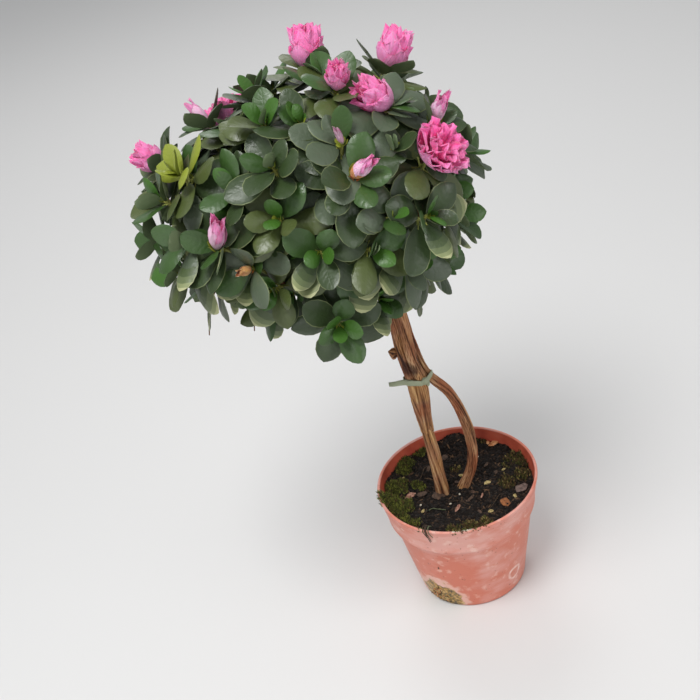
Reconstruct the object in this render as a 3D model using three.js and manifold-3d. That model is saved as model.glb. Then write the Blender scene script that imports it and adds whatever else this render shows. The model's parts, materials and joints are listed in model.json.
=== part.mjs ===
// A potted azalea trained as a small standard: two twisted stems in a 12 cm plastic pot carry a round,
// lopsided crown of leaf rosettes with a few pink double flowers. Millimetres, +Z up. The origin is the
// centre of the pot's underside, +Y points away from the viewer and +X to the viewer's right.
import * as THREE from "three"
import { mergeVertices } from "three/addons/utils/BufferGeometryUtils.js"
import Module from "manifold-3d"

const wasm = await Module()
wasm.setup()

const vec = (x, y, z) => new THREE.Vector3(x, y, z)
const UP = vec(0, 0, 1)
const GAP = 0.3 // clearance between neighbouring pieces
const SLIVER = 0.05 // facets finer than this are merged
const WELD = 1e-4 // points nearer than this are one

// Pot
const POT_HEIGHT = 95
const POT_RIM_RADIUS = 60
const POT_FOOT_RADIUS = 41
const POT_FOOT_BEVEL = 1
const POT_BAND_HEIGHT = 26
const POT_BAND_STEP = 1.3 // how far the rim band stands proud of the body
const POT_STEP_SLOPE = { below: 0.6, above: 0.4 } // the step runs from below to above the band's foot
const POT_LIP_BEVEL = { across: 0.5, down: 0.6 }
const POT_WALL = 1.7
const POT_FLOOR = 3
const POT_SIDES = 40

// Soil
const SOIL_LEVEL = 84
const SOIL_EDGE_DROP = 2 // the filling's upright side ends this far under its level
const SOIL_RINGS = 7
const SOIL_LUMPS = { height: 1.5, x: 6.1, y: 5.3, xShift: 1.3, yShift: 0.4 }
const SOIL_BACK_MOUND = { x: -2, y: 46, height: 7.5, spread: 9 }
const STEM_CLEARING = { radius: 12, fade: 6 } // flat ground round each stem

// Stems, as centre-lines from just under their flat cut at the soil
const STEM_FLOOR = SOIL_LEVEL + GAP
const MAIN_TRUNK = [vec(-11.8, -1, 78), vec(-13, -1, 115), vec(-14.3, -1, 140), vec(-15, -1, 158)]
const LEFT_ARM = [vec(-14.8, -1, 144), vec(-17.6, -0.5, 172), vec(-18.8, -1, 191), vec(-22, 0, 215),
  vec(-24, -1, 255), vec(-31, -2, 281)]
const RIGHT_ARM = [vec(-14, -1.4, 144), vec(-12.5, -3, 172), vec(-12.3, -3, 191), vec(-14.5, -5, 215),
  vec(-16, -5.5, 255), vec(-17, -9, 291)]
const SECOND_STEM = [vec(1, 1, 77), vec(12, 1, 100), vec(15.5, 1.5, 120), vec(14, 2, 143),
  vec(6, 4, 170), vec(-8, 5.6, 191), vec(-14, 7, 220), vec(-16.5, 7, 255), vec(-12, 9, 285)]
const TRUNK_RADII = { foot: 5.3, top: 4.3, flare: 2.8, flareHeight: 9 }
const ARM_RADII = { foot: 4.2, top: 3.4, flare: 0, flareHeight: 1 }
const SECOND_RADII = { foot: 4.1, top: 3.4, flare: 2.2, flareHeight: 9 }
const STEM_STEP = 13 // length of one facet along a stem
const LIMB_SIDES = { trunk: 10, stem: 8, bough: 6, stub: 6, massStem: 5, twig: 3 }
const KNUCKLE_RADIUS = 6.2 // the swellings at the stems' tips, where the boughs part
const STUB = { from: vec(-21.5, 0, 213), to: vec(-27, -1.5, 215.5), radius: 1.4, knob: 3.1 }

// Tie of soft tape round the strands
const TIE_HEIGHT = 191
const TIE_WIDTH = 6
const TIE_THICKNESS = 1.1
const TIE_LOOP = { x: -13.4, y: 1.1, halfWidth: 10, halfDepth: 8.7, arcs: 12 }
const TIE_TAIL = { length: 10, width: 5, tilt: 0.12, forward: 1.5, up: 0.5 }

// Crown
const HUB = vec(-20, 0, 283) // the masses' spaces are cones that part from here
const HEART = vec(-58, 0, 340) // the shoots face away from here
const LOBES = [
  { centre: vec(-37, 0, 347), radii: vec(99, 98, 96) },
  { centre: vec(-101, -6, 346), radii: vec(79, 80, 76) },
]
const MASS_COUNT = 8
const MASS_SPREAD = { high: 0.96, low: -0.34, reach: 0.72 }
const BOUGH_REACH = 0.5 // of the way from the hub to the crown's outside
const BOUGH_RADII = { foot: 2.7, tip: 1.9 }
const BOUGH_RISE = 5
const BOUGH_STEPS = 5
const SHOOT_COUNT = 70
const SHOOT_SPREAD = { high: 0.97, low: -0.72, jitter: 0.14 }
const SHOOT_SEEDS = { places: 7, first: 100 }
const SHOOT_DEPTH = { least: 20, spare: 5 } // tips lie this far inside the crown's outside
const SHOOT_INSET = 7 // and this far inside their mass's own space
const SHOOT_RISE = 0.35 // how far a shoot turns up towards the light
const MASS_STEM = { length: 9, fork: 0.15 } // its fork lies this share of its length before its end
const TWIG_RADII = { foot: 1.9, tip: 1.2, end: 2.5 } // the end swells into the bud that holds the leaves
const TWIG_THIN = 70 // twigs this far along from their mass's stem start with the tip's radius
const TWIG_STEPS = 5
const TWIG_BEND = 0.35 // of its length: how far before its end a twig turns to the shoot's axis
const TWIG_FORKS = [0.35, 0.6] // the places along a twig where others can part
const TWIG_DETOUR = 0.3 // how much the way along older twigs counts when a shoot picks its fork
const TWIG_SAMPLES = { count: 12, first: 2 }
const CELL_MARGIN = 0.4
const LIMB_MARGIN = 2.2
const LIMB_LENGTHS = { arm: 16, second: 26, bough: 12 } // straight lengths that stand for a limb
const BLOOM_MARGIN = 1.5
const GOLDEN = Math.PI * (3 - Math.sqrt(5))

// Leaves, from the outermost and oldest of a rosette to the innermost
const LEAVES = { least: 5, spare: 2, size: 0.88, sizeSpare: 0.24, twist: 0.5 }
const LEAF_RANK_ROUND_BLOOM = 0.55 // a bloom takes the place of the innermost leaves
const LEAF_ROOTS = { outer: -8, inner: -1, sunk: 0.6 } // from the shoot's tip, along and across its axis
const LEAF_LENGTH = { outer: 39, inner: 24 }
const LEAF_TILT = { outer: 96, inner: 42 } // degrees away from the shoot's axis
const LEAF_BACK_LEAN = 0.09
const LEAF_HALF_WIDTH = 0.31 // of its length
const LEAF_THICKNESS = 1
const LEAF_OUTLINE = [[0, 0], [0.58, -0.95], [0.98, -0.42], [0.98, 0.42], [0.58, 0.95]]
const LEAF_RISE = [0, 0.03, -0.1, -0.1, 0.03] // of its length, above the blade's plane
const LEAF_CREST = { along: 0.5, rise: 0.05 }
const LEAF_NECK = 0.15 // of its length: leaves can pass each other this near to their stalks
const LEAF_SAMPLES = { first: 2, last: 10, edge: 0.9, sag: 0.08 } // points for telling whether it has room
const LEAF_TRIES = [ // degrees round the shoot, size, degrees of lift, until one has room
  [0, 1, 0], [18, 0.96, 0], [-18, 0.96, 0], [0, 0.94, 18], [36, 0.9, 8], [-36, 0.9, 8], [0, 0.86, 34],
  [60, 0.82, 16], [-60, 0.82, 16], [90, 0.8, 24], [-90, 0.8, 24],
]

// Shoots that have a place of their own: what they bear, degrees round from the front towards the right,
// degrees up, a bloom's size and how far it leans to the left
const PLACED_SHOOTS = [
  ["open", 58, 22, 1, 0], ["half", 158, 64, 1, 0], ["half", 56, 65, 0.72, 0], ["half", 113, 45, 1, 0],
  ["half", 64, 45, 0.95, 0.3], ["bud", 78, 30, 1, 0], ["bud", 25, 31, 1, -0.3], ["bud", 28, 44, 0.7, 0.2],
  ["bud", -114, 43, 0.85, 0], ["bud", -40, 10, 1.1, 0], ["half", 205, 30, 1, 0], ["bud", 178, 12, 1, 0],
  ["open", 225, 34, 0.9, 0], ["bud", 140, 18, 1, 0], ["half", 262, 24, 0.8, 0], ["bud", 250, -5, 1, 0],
  ["leaves", 4, -38], ["leaves", 47, 5], ["leaves", 27, 0], ["leaves", -24, -17],
  ["leaves", -12, 43], ["leaves", -12, 21], ["leaves", -19, 61], ["leaves", -65, 33],
]
const BLOOM_SHAPES = { // distance along the axis and radius, ring by ring
  bud: { sides: 6, ruffle: 0, ball: 6, rings: [[-3, 1.6], [4, 4.4], [11, 5], [17, 3]], end: 21 },
  half: { sides: 8, ruffle: 0.08, ball: 11, rings: [[-3, 1.8], [5, 7], [14, 10], [24, 9.5]], end: 20 },
  open: { sides: 10, ruffle: 0.06, ball: 17, rings: [[-3, 2], [5, 8], [12, 17], [19, 18], [23, 11]], end: 19 },
}
const BLOOM_RUFFLE_FROM = 10 // the ruffle grows up to this distance along the axis
const BLOOM_BALL_PLACE = 0.6 // of the bloom's end: the middle of the ball that leaves stay out of

const PLASTIC = { color: 0xc9705e, roughness: 0.55, metalness: 0 }
const PEAT = { color: 0x1d1713, roughness: 1, metalness: 0 }
const BARK = { color: 0x8d6c4d, roughness: 0.85, metalness: 0 }
const TAPE = { color: 0xa9bba0, roughness: 0.6, metalness: 0 }
const FOLIAGE = { color: 0x3f5f3a, roughness: 0.5, metalness: 0 }

// Seeded draws between 0 and 1
function dice(seed) {
  let state = Math.imul(seed + 1, 2654435761) >>> 0
  return () => {
    state = (Math.imul(state, 1664525) + 1013904223) >>> 0
    return state / 4294967296
  }
}

function mix(a, b, t) {
  return a + (b - a) * t
}

function solid(geometry) {
  geometry.deleteAttribute("normal")
  geometry.deleteAttribute("uv")
  const merged = mergeVertices(geometry, WELD)
  return new wasm.Manifold(new wasm.Mesh({
    numProp: 3,
    vertProperties: new Float32Array(merged.attributes.position.array),
    triVerts: new Uint32Array(merged.index.array),
  }))
}

// The largest body of a solid: seals its inner hollows and drops loose scraps
function mainBody(body) {
  return body.decompose().sort((a, b) => b.volume() - a.volume())[0]
}

function piece(name, body, look) {
  const { vertProperties, triVerts } = mainBody(body).simplify(SLIVER).getMesh()
  const geometry = new THREE.BufferGeometry()
  geometry.setAttribute("position", new THREE.BufferAttribute(vertProperties, 3))
  geometry.setIndex(new THREE.BufferAttribute(triVerts, 1))
  geometry.computeVertexNormals()
  const mesh = new THREE.Mesh(geometry, new THREE.MeshStandardMaterial(look))
  mesh.name = name
  return mesh
}

function shell(points, faces) {
  const geometry = new THREE.BufferGeometry().setFromPoints(points)
  geometry.setIndex(faces.flat())
  return solid(geometry)
}

// A round limb along a curve, with flat ends
function limb(curve, radiusAt, sides, steps) {
  const centres = curve.getSpacedPoints(steps)
  const frames = curve.computeFrenetFrames(steps, false)
  const points = []
  const faces = []
  centres.forEach((centre, step) => {
    const radius = radiusAt(step / steps)
    for (let side = 0; side < sides; side++) {
      const angle = (2 * Math.PI * side) / sides
      points.push(centre.clone()
        .addScaledVector(frames.normals[step], radius * Math.cos(angle))
        .addScaledVector(frames.binormals[step], radius * Math.sin(angle)))
    }
  })
  for (let step = 0; step < steps; step++) {
    for (let side = 0; side < sides; side++) {
      const next = (side + 1) % sides
      const low = step * sides
      const high = low + sides
      faces.push([low + side, low + next, high + next], [low + side, high + next, high + side])
    }
  }
  const last = steps * sides
  for (let side = 1; side < sides - 1; side++) {
    faces.push([0, side + 1, side], [last, last + side, last + side + 1])
  }
  return shell(points, faces)
}

function spline(points) {
  return new THREE.CatmullRomCurve3(points, false, "catmullrom", 0.5)
}

// A stem thins towards its top and flares at its foot
function stemRadius(curve, radii, extra) {
  const length = curve.getLength()
  return (t) => mix(radii.foot, radii.top, t) + radii.flare * Math.exp((-t * length) / radii.flareHeight) + extra
}

function stemSteps(curve) {
  return Math.round(curve.getLength() / STEM_STEP)
}

function ball(centre, radius) {
  return solid(new THREE.IcosahedronGeometry(radius, 1).translate(centre.x, centre.y, centre.z))
}

// The limbs' centre-lines as short straight lengths, for keeping leaves off them
const limbLengths = []
function recordLimb(curve, radius, steps) {
  const points = curve.getSpacedPoints(steps)
  for (let step = 0; step < steps; step++) {
    limbLengths.push({ line: new THREE.Line3(points[step], points[step + 1]), radius })
  }
}

function pot() {
  const bandFoot = POT_HEIGHT - POT_BAND_HEIGHT
  const bodyTop = mix(POT_FOOT_RADIUS, POT_RIM_RADIUS - POT_BAND_STEP, bandFoot / POT_HEIGHT)
  const { across, down } = POT_LIP_BEVEL
  const profile = [
    [0, 0], [POT_FOOT_RADIUS - POT_FOOT_BEVEL, 0], [POT_FOOT_RADIUS, POT_FOOT_BEVEL],
    [bodyTop, bandFoot - POT_STEP_SLOPE.below], [bodyTop + POT_BAND_STEP, bandFoot + POT_STEP_SLOPE.above],
    [POT_RIM_RADIUS, POT_HEIGHT - down], [POT_RIM_RADIUS - across, POT_HEIGHT],
    [POT_RIM_RADIUS - POT_WALL + across, POT_HEIGHT], [POT_RIM_RADIUS - POT_WALL, POT_HEIGHT - down],
    [POT_FOOT_RADIUS - POT_WALL, POT_FLOOR], [0, POT_FLOOR],
  ]
  const outline = profile.map(([radius, height]) => new THREE.Vector2(radius, height))
  return solid(new THREE.LatheGeometry(outline, POT_SIDES).rotateX(Math.PI / 2))
}

function soilHeight(x, y) {
  const feet = [MAIN_TRUNK[0], SECOND_STEM[0]]
  const clear = Math.min(...feet.map((foot) => Math.hypot(foot.x - x, foot.y - y)))
  const wave = SOIL_LUMPS
  const lumps = wave.height * Math.sin(x / wave.x + wave.xShift) * Math.sin(y / wave.y + wave.yShift)
  const mound = SOIL_BACK_MOUND
  const away = Math.hypot(x - mound.x, y - mound.y) / mound.spread
  const fade = Math.min(1, Math.max(0, (clear - STEM_CLEARING.radius) / STEM_CLEARING.fade))
  return SOIL_LEVEL + fade * lumps + mound.height * Math.exp(-away * away)
}

function soil() {
  const wallSlope = (POT_RIM_RADIUS - POT_FOOT_RADIUS) / (POT_HEIGHT - POT_LIP_BEVEL.down - POT_FLOOR)
  const flat = 1 / Math.cos(Math.PI / POT_SIDES) // the wall's flats lie inside its corners
  const radiusAt = (height) => (POT_FOOT_RADIUS - POT_WALL + wallSlope * (height - POT_FLOOR)) / flat - GAP
  const foot = POT_FLOOR + GAP
  const edge = SOIL_LEVEL - SOIL_EDGE_DROP
  const profile = [[0, foot], [radiusAt(foot), foot], [radiusAt(edge), edge]]
  for (let ring = SOIL_RINGS - 1; ring >= 0; ring--) {
    profile.push([(radiusAt(edge) * ring) / SOIL_RINGS, SOIL_LEVEL])
  }
  const geometry = new THREE.LatheGeometry(profile.map(([r, z]) => new THREE.Vector2(r, z)), POT_SIDES)
  geometry.rotateX(Math.PI / 2)
  const place = geometry.attributes.position
  for (let index = 0; index < place.count; index++) {
    if (place.getZ(index) > edge + GAP) {
      place.setZ(index, soilHeight(place.getX(index), place.getY(index)))
    }
  }
  return solid(geometry)
}

// Both stems, grown by extra where they are a cutter for their neighbours
function mainStem(extra = 0) {
  const trunk = spline(MAIN_TRUNK)
  const arms = [LEFT_ARM, RIGHT_ARM].map(spline)
  const bodies = [limb(trunk, stemRadius(trunk, TRUNK_RADII, extra), LIMB_SIDES.trunk, stemSteps(trunk))]
  for (const arm of arms) {
    bodies.push(limb(arm, stemRadius(arm, ARM_RADII, extra), LIMB_SIDES.stem, stemSteps(arm)))
    bodies.push(ball(arm.getPoint(1), KNUCKLE_RADIUS + extra))
  }
  const stub = new THREE.LineCurve3(STUB.from, STUB.to)
  bodies.push(limb(stub, () => STUB.radius + extra, LIMB_SIDES.stub, 1))
  bodies.push(solid(new THREE.IcosahedronGeometry(STUB.knob + extra, 0).translate(...STUB.to.toArray())))
  return wasm.Manifold.union(bodies).trimByPlane([0, 0, 1], STEM_FLOOR)
}

function secondStem(extra = 0) {
  const stem = spline(SECOND_STEM)
  const body = limb(stem, stemRadius(stem, SECOND_RADII, extra), LIMB_SIDES.stem, stemSteps(stem))
  return body.add(ball(stem.getPoint(1), KNUCKLE_RADIUS + extra)).trimByPlane([0, 0, 1], STEM_FLOOR)
}

// Tape wound once round the three strands, with its end left standing out to the left
function tie(strands) {
  const { x, y, halfWidth, halfDepth, arcs } = TIE_LOOP
  const outline = new THREE.Shape()
  outline.absellipse(x, y, halfWidth + TIE_THICKNESS, halfDepth + TIE_THICKNESS, 0, 2 * Math.PI, false, 0)
  const settings = { depth: TIE_WIDTH, bevelEnabled: false, curveSegments: arcs }
  const loop = solid(new THREE.ExtrudeGeometry(outline, settings).translate(0, 0, TIE_HEIGHT - TIE_WIDTH / 2))
  const { length, width, tilt, forward, up } = TIE_TAIL
  const tail = solid(new THREE.BoxGeometry(length, TIE_THICKNESS, width).rotateY(tilt)
    .translate(x - halfWidth - length / 2, y - forward, TIE_HEIGHT + up))
  return loop.add(tail).subtract(strands)
}

// The distance from the heart to the crown's outside
function outside(direction) {
  const reaches = LOBES.map(({ centre, radii }) => {
    const from = HEART.clone().sub(centre).divide(radii)
    const along = direction.clone().divide(radii)
    const a = along.dot(along)
    const b = from.dot(along)
    const c = from.dot(from) - 1
    return (-b + Math.sqrt(Math.max(b * b - a * c, 0))) / a
  })
  return Math.max(...reaches)
}

// Directions spread evenly over a round cap, from a high one to a low one
function spread(count, high, low) {
  return Array.from({ length: count }, (_, index) => {
    const z = mix(high, low, (index + 0.5) / count)
    const angle = index * GOLDEN
    const flat = Math.sqrt(1 - z * z)
    return vec(flat * Math.cos(angle), flat * Math.sin(angle), z)
  })
}

function bearing(azimuth, elevation) {
  const turn = THREE.MathUtils.degToRad(azimuth)
  const rise = THREE.MathUtils.degToRad(elevation)
  return vec(Math.cos(rise) * Math.sin(turn), -Math.cos(rise) * Math.cos(turn), Math.sin(rise))
}

// Each mass of foliage: the direction of its space, and its bough from the nearest knuckle
function layOutMasses() {
  const knuckles = [LEFT_ARM, RIGHT_ARM, SECOND_STEM].map((points) => points[points.length - 1])
  return spread(MASS_COUNT, MASS_SPREAD.high, MASS_SPREAD.low).map((direction) => {
    const aim = HEART.clone().addScaledVector(direction, MASS_SPREAD.reach * outside(direction))
    const axis = aim.clone().sub(HUB).normalize()
    const tip = HUB.clone().lerp(aim, BOUGH_REACH / MASS_SPREAD.reach)
    const knuckle = knuckles.reduce((best, each) => (each.distanceTo(aim) < best.distanceTo(aim) ? each : best))
    const middle = knuckle.clone().lerp(tip, 0.5).addScaledVector(UP, BOUGH_RISE)
    return { axis, bough: spline([knuckle, middle, tip]), shoots: [] }
  })
}

// How far a point lies inside a mass's own space
function depthInside(point, masses, mass) {
  const arm = point.clone().sub(HUB)
  const depths = masses.filter((other) => other !== mass).map((other) => {
    const normal = mass.axis.clone().sub(other.axis)
    return arm.dot(normal) / normal.length()
  })
  return Math.min(...depths)
}

// Shoot tips over the crown's outside, the nearest ones moved to the places that are given
function layOutShoots(masses) {
  const draw = dice(SHOOT_SEEDS.places)
  const places = spread(SHOOT_COUNT, SHOOT_SPREAD.high, SHOOT_SPREAD.low).map((even) => {
    const jitter = vec(draw() - 0.5, draw() - 0.5, draw() - 0.5)
    const direction = even.addScaledVector(jitter, SHOOT_SPREAD.jitter).normalize()
    return { direction, sunk: SHOOT_DEPTH.spare * draw(), bloom: null }
  })
  for (const [kind, azimuth, elevation, size, lean] of PLACED_SHOOTS) {
    const wanted = bearing(azimuth, elevation)
    const free = places.filter((place) => !place.fixed)
    const nearest = free.reduce((best, each) => (
      each.direction.distanceTo(wanted) < best.direction.distanceTo(wanted) ? each : best))
    const bloom = kind === "leaves" ? null : { kind, size, lean }
    Object.assign(nearest, { direction: wanted, sunk: 0, bloom, fixed: true })
  }
  places.forEach(({ direction, sunk, bloom }, index) => {
    const tip = HEART.clone().addScaledVector(direction, outside(direction) - SHOOT_DEPTH.least - sunk)
    const home = masses.reduce((best, each) => (
      each.axis.dot(tip.clone().sub(HUB)) > best.axis.dot(tip.clone().sub(HUB)) ? each : best))
    for (const other of masses.filter((each) => each !== home)) {
      const normal = home.axis.clone().sub(other.axis).normalize()
      const short = SHOOT_INSET - tip.clone().sub(HUB).dot(normal)
      if (short > 0) tip.addScaledVector(normal, short)
    }
    const axis = direction.clone().addScaledVector(UP, SHOOT_RISE).normalize()
    home.shoots.push({ tip, axis, bloom, draw: dice(SHOOT_SEEDS.first + index) })
  })
}

function bloomAxis(axis, bloom) {
  return axis.clone().addScaledVector(vec(-1, 0, 0), bloom.lean).normalize()
}

function bloomBall({ tip, axis, bloom }) {
  const { end, ball } = BLOOM_SHAPES[bloom.kind]
  const centre = tip.clone().addScaledVector(bloomAxis(axis, bloom), BLOOM_BALL_PLACE * end * bloom.size)
  return { centre, radius: ball * bloom.size }
}

// True where a twig or leaf would leave its mass's space, or touch a limb or one of the blooms
function blocked(points, mass, masses, blooms) {
  const nearest = vec(0, 0, 0)
  return points.some((point) => {
    if (depthInside(point, masses, mass) < CELL_MARGIN) return true
    for (const { line, radius } of limbLengths) {
      line.closestPointToPoint(point, true, nearest)
      if (nearest.distanceTo(point) < radius + LIMB_MARGIN) return true
    }
    return blooms.some(({ centre, radius }) => centre.distanceTo(point) < radius + BLOOM_MARGIN)
  })
}

// A leaf's corner from its place along, across and above the blade
function onLeaf(leaf, along, across, above) {
  return leaf.root.clone()
    .addScaledVector(leaf.along, along * leaf.length)
    .addScaledVector(leaf.across, across * leaf.length * LEAF_HALF_WIDTH)
    .addScaledVector(leaf.above, above)
}

function leafSamples(leaf) {
  const { first, last, edge, sag } = LEAF_SAMPLES
  const points = []
  for (let step = first; step <= last; step++) {
    const along = step / last
    const across = step < last ? edge : 0
    for (const side of [-across, -across / 2, 0, across / 2, across]) {
      points.push(onLeaf(leaf, along, side, -sag * leaf.length * along * along))
    }
  }
  return points
}

function leafSolid(leaf) {
  const corners = LEAF_OUTLINE.length
  const points = LEAF_OUTLINE.map(([along, across], corner) => (
    onLeaf(leaf, along, across, LEAF_RISE[corner] * leaf.length)))
  points.push(onLeaf(leaf, LEAF_CREST.along, 0, LEAF_CREST.rise * leaf.length + LEAF_THICKNESS))
  const faces = points.slice(0, corners).map((_, corner) => [corners, corner, (corner + 1) % corners])
  for (let corner = 1; corner < corners - 1; corner++) faces.push([0, corner + 1, corner])
  return shell(points, faces)
}

// True where one leaf passes through another: parts of it lie both above and below the other's blade
function crosses(leaf, other) {
  if (leaf.root.distanceTo(other.root) > leaf.length + other.length) return false
  let above = false
  let below = false
  for (const point of leafSamples(leaf)) {
    const arm = point.sub(other.root)
    const along = arm.dot(other.along) / other.length
    const across = arm.dot(other.across) / (other.length * LEAF_HALF_WIDTH)
    if (along < LEAF_NECK || along > 1 || Math.abs(across) > 1) continue
    const height = arm.dot(other.above)
    above ||= height > 0
    below ||= height <= 0
  }
  return above && below
}

// One leaf of a rosette; rank runs from 0, the outermost, to 1, the innermost
function rosetteLeaf(shoot, turn, rank, scale, lift, twist) {
  const tilt = THREE.MathUtils.degToRad(mix(LEAF_TILT.outer, LEAF_TILT.inner, rank) - lift)
  const side = new THREE.Vector3().crossVectors(Math.abs(shoot.axis.z) < 0.9 ? UP : vec(1, 0, 0), shoot.axis)
  side.normalize().applyAxisAngle(shoot.axis, turn)
  const along = shoot.axis.clone().multiplyScalar(Math.cos(tilt)).addScaledVector(side, Math.sin(tilt))
  const above = shoot.axis.clone().addScaledVector(along, -shoot.axis.dot(along))
  above.addScaledVector(side, -LEAF_BACK_LEAN).normalize().applyAxisAngle(along, twist)
  const across = new THREE.Vector3().crossVectors(above, along)
  const root = shoot.tip.clone()
    .addScaledVector(shoot.axis, mix(LEAF_ROOTS.outer, LEAF_ROOTS.inner, rank))
    .addScaledVector(side, -LEAF_ROOTS.sunk)
  return { root, along, across, above, length: scale * mix(LEAF_LENGTH.outer, LEAF_LENGTH.inner, rank) }
}

function bloomSolid(shoot) {
  const { kind, size } = shoot.bloom
  const { sides, ruffle, rings, end } = BLOOM_SHAPES[kind]
  const profile = [[0, rings[0][0]], ...rings.map(([along, radius]) => [radius, along]), [0, end]]
  const geometry = new THREE.LatheGeometry(profile.map(([r, z]) => new THREE.Vector2(r, z)), sides)
  const place = geometry.attributes.position
  for (let index = 0; index < place.count; index++) {
    const [x, y, z] = [place.getX(index), place.getY(index), place.getZ(index)]
    const grown = Math.min(1, Math.max(0, y / BLOOM_RUFFLE_FROM))
    const wave = 1 + ruffle * Math.cos((sides / 2) * Math.atan2(x, z)) * grown
    place.setXYZ(index, x * wave, y, z * wave)
  }
  geometry.scale(size, size, size)
  const turn = new THREE.Quaternion().setFromUnitVectors(vec(0, 1, 0), bloomAxis(shoot.axis, shoot.bloom))
  geometry.applyQuaternion(turn)
  return solid(geometry.translate(...shoot.tip.toArray()))
}

// Twigs from a mass's own stem to its shoots, each from the nearest twig that is already there
function growTwigs(mass, masses, blooms) {
  const start = mass.bough.getPoint(1).addScaledVector(mass.bough.getTangent(1), GAP)
  const end = start.clone().addScaledVector(mass.bough.getTangent(1), MASS_STEM.length)
  const bodies = [limb(new THREE.LineCurve3(start, end), () => TWIG_RADII.foot, LIMB_SIDES.massStem, 1)]
  const forks = [{ place: end.clone().lerp(start, MASS_STEM.fork), length: 0 }]
  const othersBlooms = blooms.filter((bloom) => bloom.mass !== mass)
  const inOrder = [...mass.shoots].sort((a, b) => a.tip.distanceTo(end) - b.tip.distanceTo(end))
  mass.shoots = inOrder.filter((shoot) => {
    const cost = ({ place, length }) => place.distanceTo(shoot.tip) + TWIG_DETOUR * length
    const parent = forks.reduce((best, each) => (cost(each) < cost(best) ? each : best))
    const span = parent.place.distanceTo(shoot.tip)
    const bend = shoot.tip.clone().addScaledVector(shoot.axis, -TWIG_BEND * span)
    const path = new THREE.QuadraticBezierCurve3(parent.place, bend, shoot.tip)
    const samples = path.getSpacedPoints(TWIG_SAMPLES.count).slice(TWIG_SAMPLES.first)
    if (blocked(samples, mass, masses, othersBlooms)) return false
    const foot = mix(TWIG_RADII.foot, TWIG_RADII.tip, Math.min(1, parent.length / TWIG_THIN))
    const radiusAt = (t) => (t < 1 ? mix(foot, TWIG_RADII.tip, t) : TWIG_RADII.end)
    bodies.push(limb(path, radiusAt, LIMB_SIDES.twig, TWIG_STEPS))
    for (const t of TWIG_FORKS) {
      forks.push({ place: path.getPointAt(t), length: parent.length + t * span })
    }
    return true
  })
  return bodies
}

// Leaves round each shoot, the outermost first; one that has no room is turned, lifted or left out
function growLeaves(mass, masses, blooms) {
  const leaves = []
  for (const shoot of mass.shoots) {
    const count = LEAVES.least + Math.floor(LEAVES.spare * shoot.draw())
    const firstTurn = 2 * Math.PI * shoot.draw()
    for (let index = 0; index < count; index++) {
      const rank = (index / (count - 1)) * (shoot.bloom ? LEAF_RANK_ROUND_BLOOM : 1)
      const scale = LEAVES.size + LEAVES.sizeSpare * shoot.draw()
      const twist = LEAVES.twist * (shoot.draw() - 0.5)
      const leaf = LEAF_TRIES
        .map(([turn, size, lift]) => rosetteLeaf(
          shoot, firstTurn + index * GOLDEN + THREE.MathUtils.degToRad(turn), rank, scale * size, lift, twist))
        .find((each) => !leaves.some((other) => crosses(each, other) || crosses(other, each))
          && !blocked(leafSamples(each), mass, masses, blooms))
      if (leaf) leaves.push(leaf)
    }
  }
  return leaves
}

function foliage(mass, masses, blooms) {
  const twigs = growTwigs(mass, masses, blooms)
  const flowers = mass.shoots.filter((shoot) => shoot.bloom).map(bloomSolid)
  return wasm.Manifold.union([...twigs, ...flowers, ...growLeaves(mass, masses, blooms).map(leafSolid)])
}

const azalea = new THREE.Group()
azalea.name = "azalea"
azalea.add(piece("pot", pot(), PLASTIC))
azalea.add(piece("soil", soil(), PEAT))
azalea.add(piece("stem_main", mainStem(), BARK))
azalea.add(piece("stem_second", secondStem(), BARK))
const grownStems = mainStem(GAP).add(secondStem(GAP))
azalea.add(piece("tie", tie(grownStems), TAPE))

for (const points of [LEFT_ARM, RIGHT_ARM]) recordLimb(spline(points), ARM_RADII.foot, LIMB_LENGTHS.arm)
recordLimb(spline(SECOND_STEM), SECOND_RADII.foot, LIMB_LENGTHS.second)
for (const points of [LEFT_ARM, RIGHT_ARM, SECOND_STEM]) {
  const tip = points[points.length - 1]
  limbLengths.push({ line: new THREE.Line3(tip, tip), radius: KNUCKLE_RADIUS })
}
const masses = layOutMasses()
let cutter = grownStems
masses.forEach((mass, index) => {
  const radius = (extra) => (t) => mix(BOUGH_RADII.foot, BOUGH_RADII.tip, t) + extra
  const bough = limb(mass.bough, radius(0), LIMB_SIDES.bough, BOUGH_STEPS).subtract(cutter)
  azalea.add(piece(`bough_${index + 1}`, bough, BARK))
  cutter = cutter.add(limb(mass.bough, radius(GAP), LIMB_SIDES.bough, BOUGH_STEPS))
  recordLimb(mass.bough, BOUGH_RADII.foot, LIMB_LENGTHS.bough)
})
layOutShoots(masses)
const blooms = masses.flatMap((mass) => mass.shoots.filter((shoot) => shoot.bloom)
  .map((shoot) => ({ mass, ...bloomBall(shoot) })))
masses.forEach((mass, index) => azalea.add(piece(`foliage_${index + 1}`, foliage(mass, masses, blooms), FOLIAGE)))

export default azalea
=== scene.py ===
# Looks of a small azalea standard in a 12 cm plastic pot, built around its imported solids.
# Lengths here are millimetres in the part's frame, and meshes are made in metres. +Y points away from the
# viewer, +X to the viewer's right and +Z up the plant; the origin is the centre of the pot's underside.
import json
from math import atan2, cos, degrees, exp, hypot, pi, radians, sin, sqrt
from types import SimpleNamespace as Record

import bpy
import numpy as np
from mathutils import Matrix, Vector, noise

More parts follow.
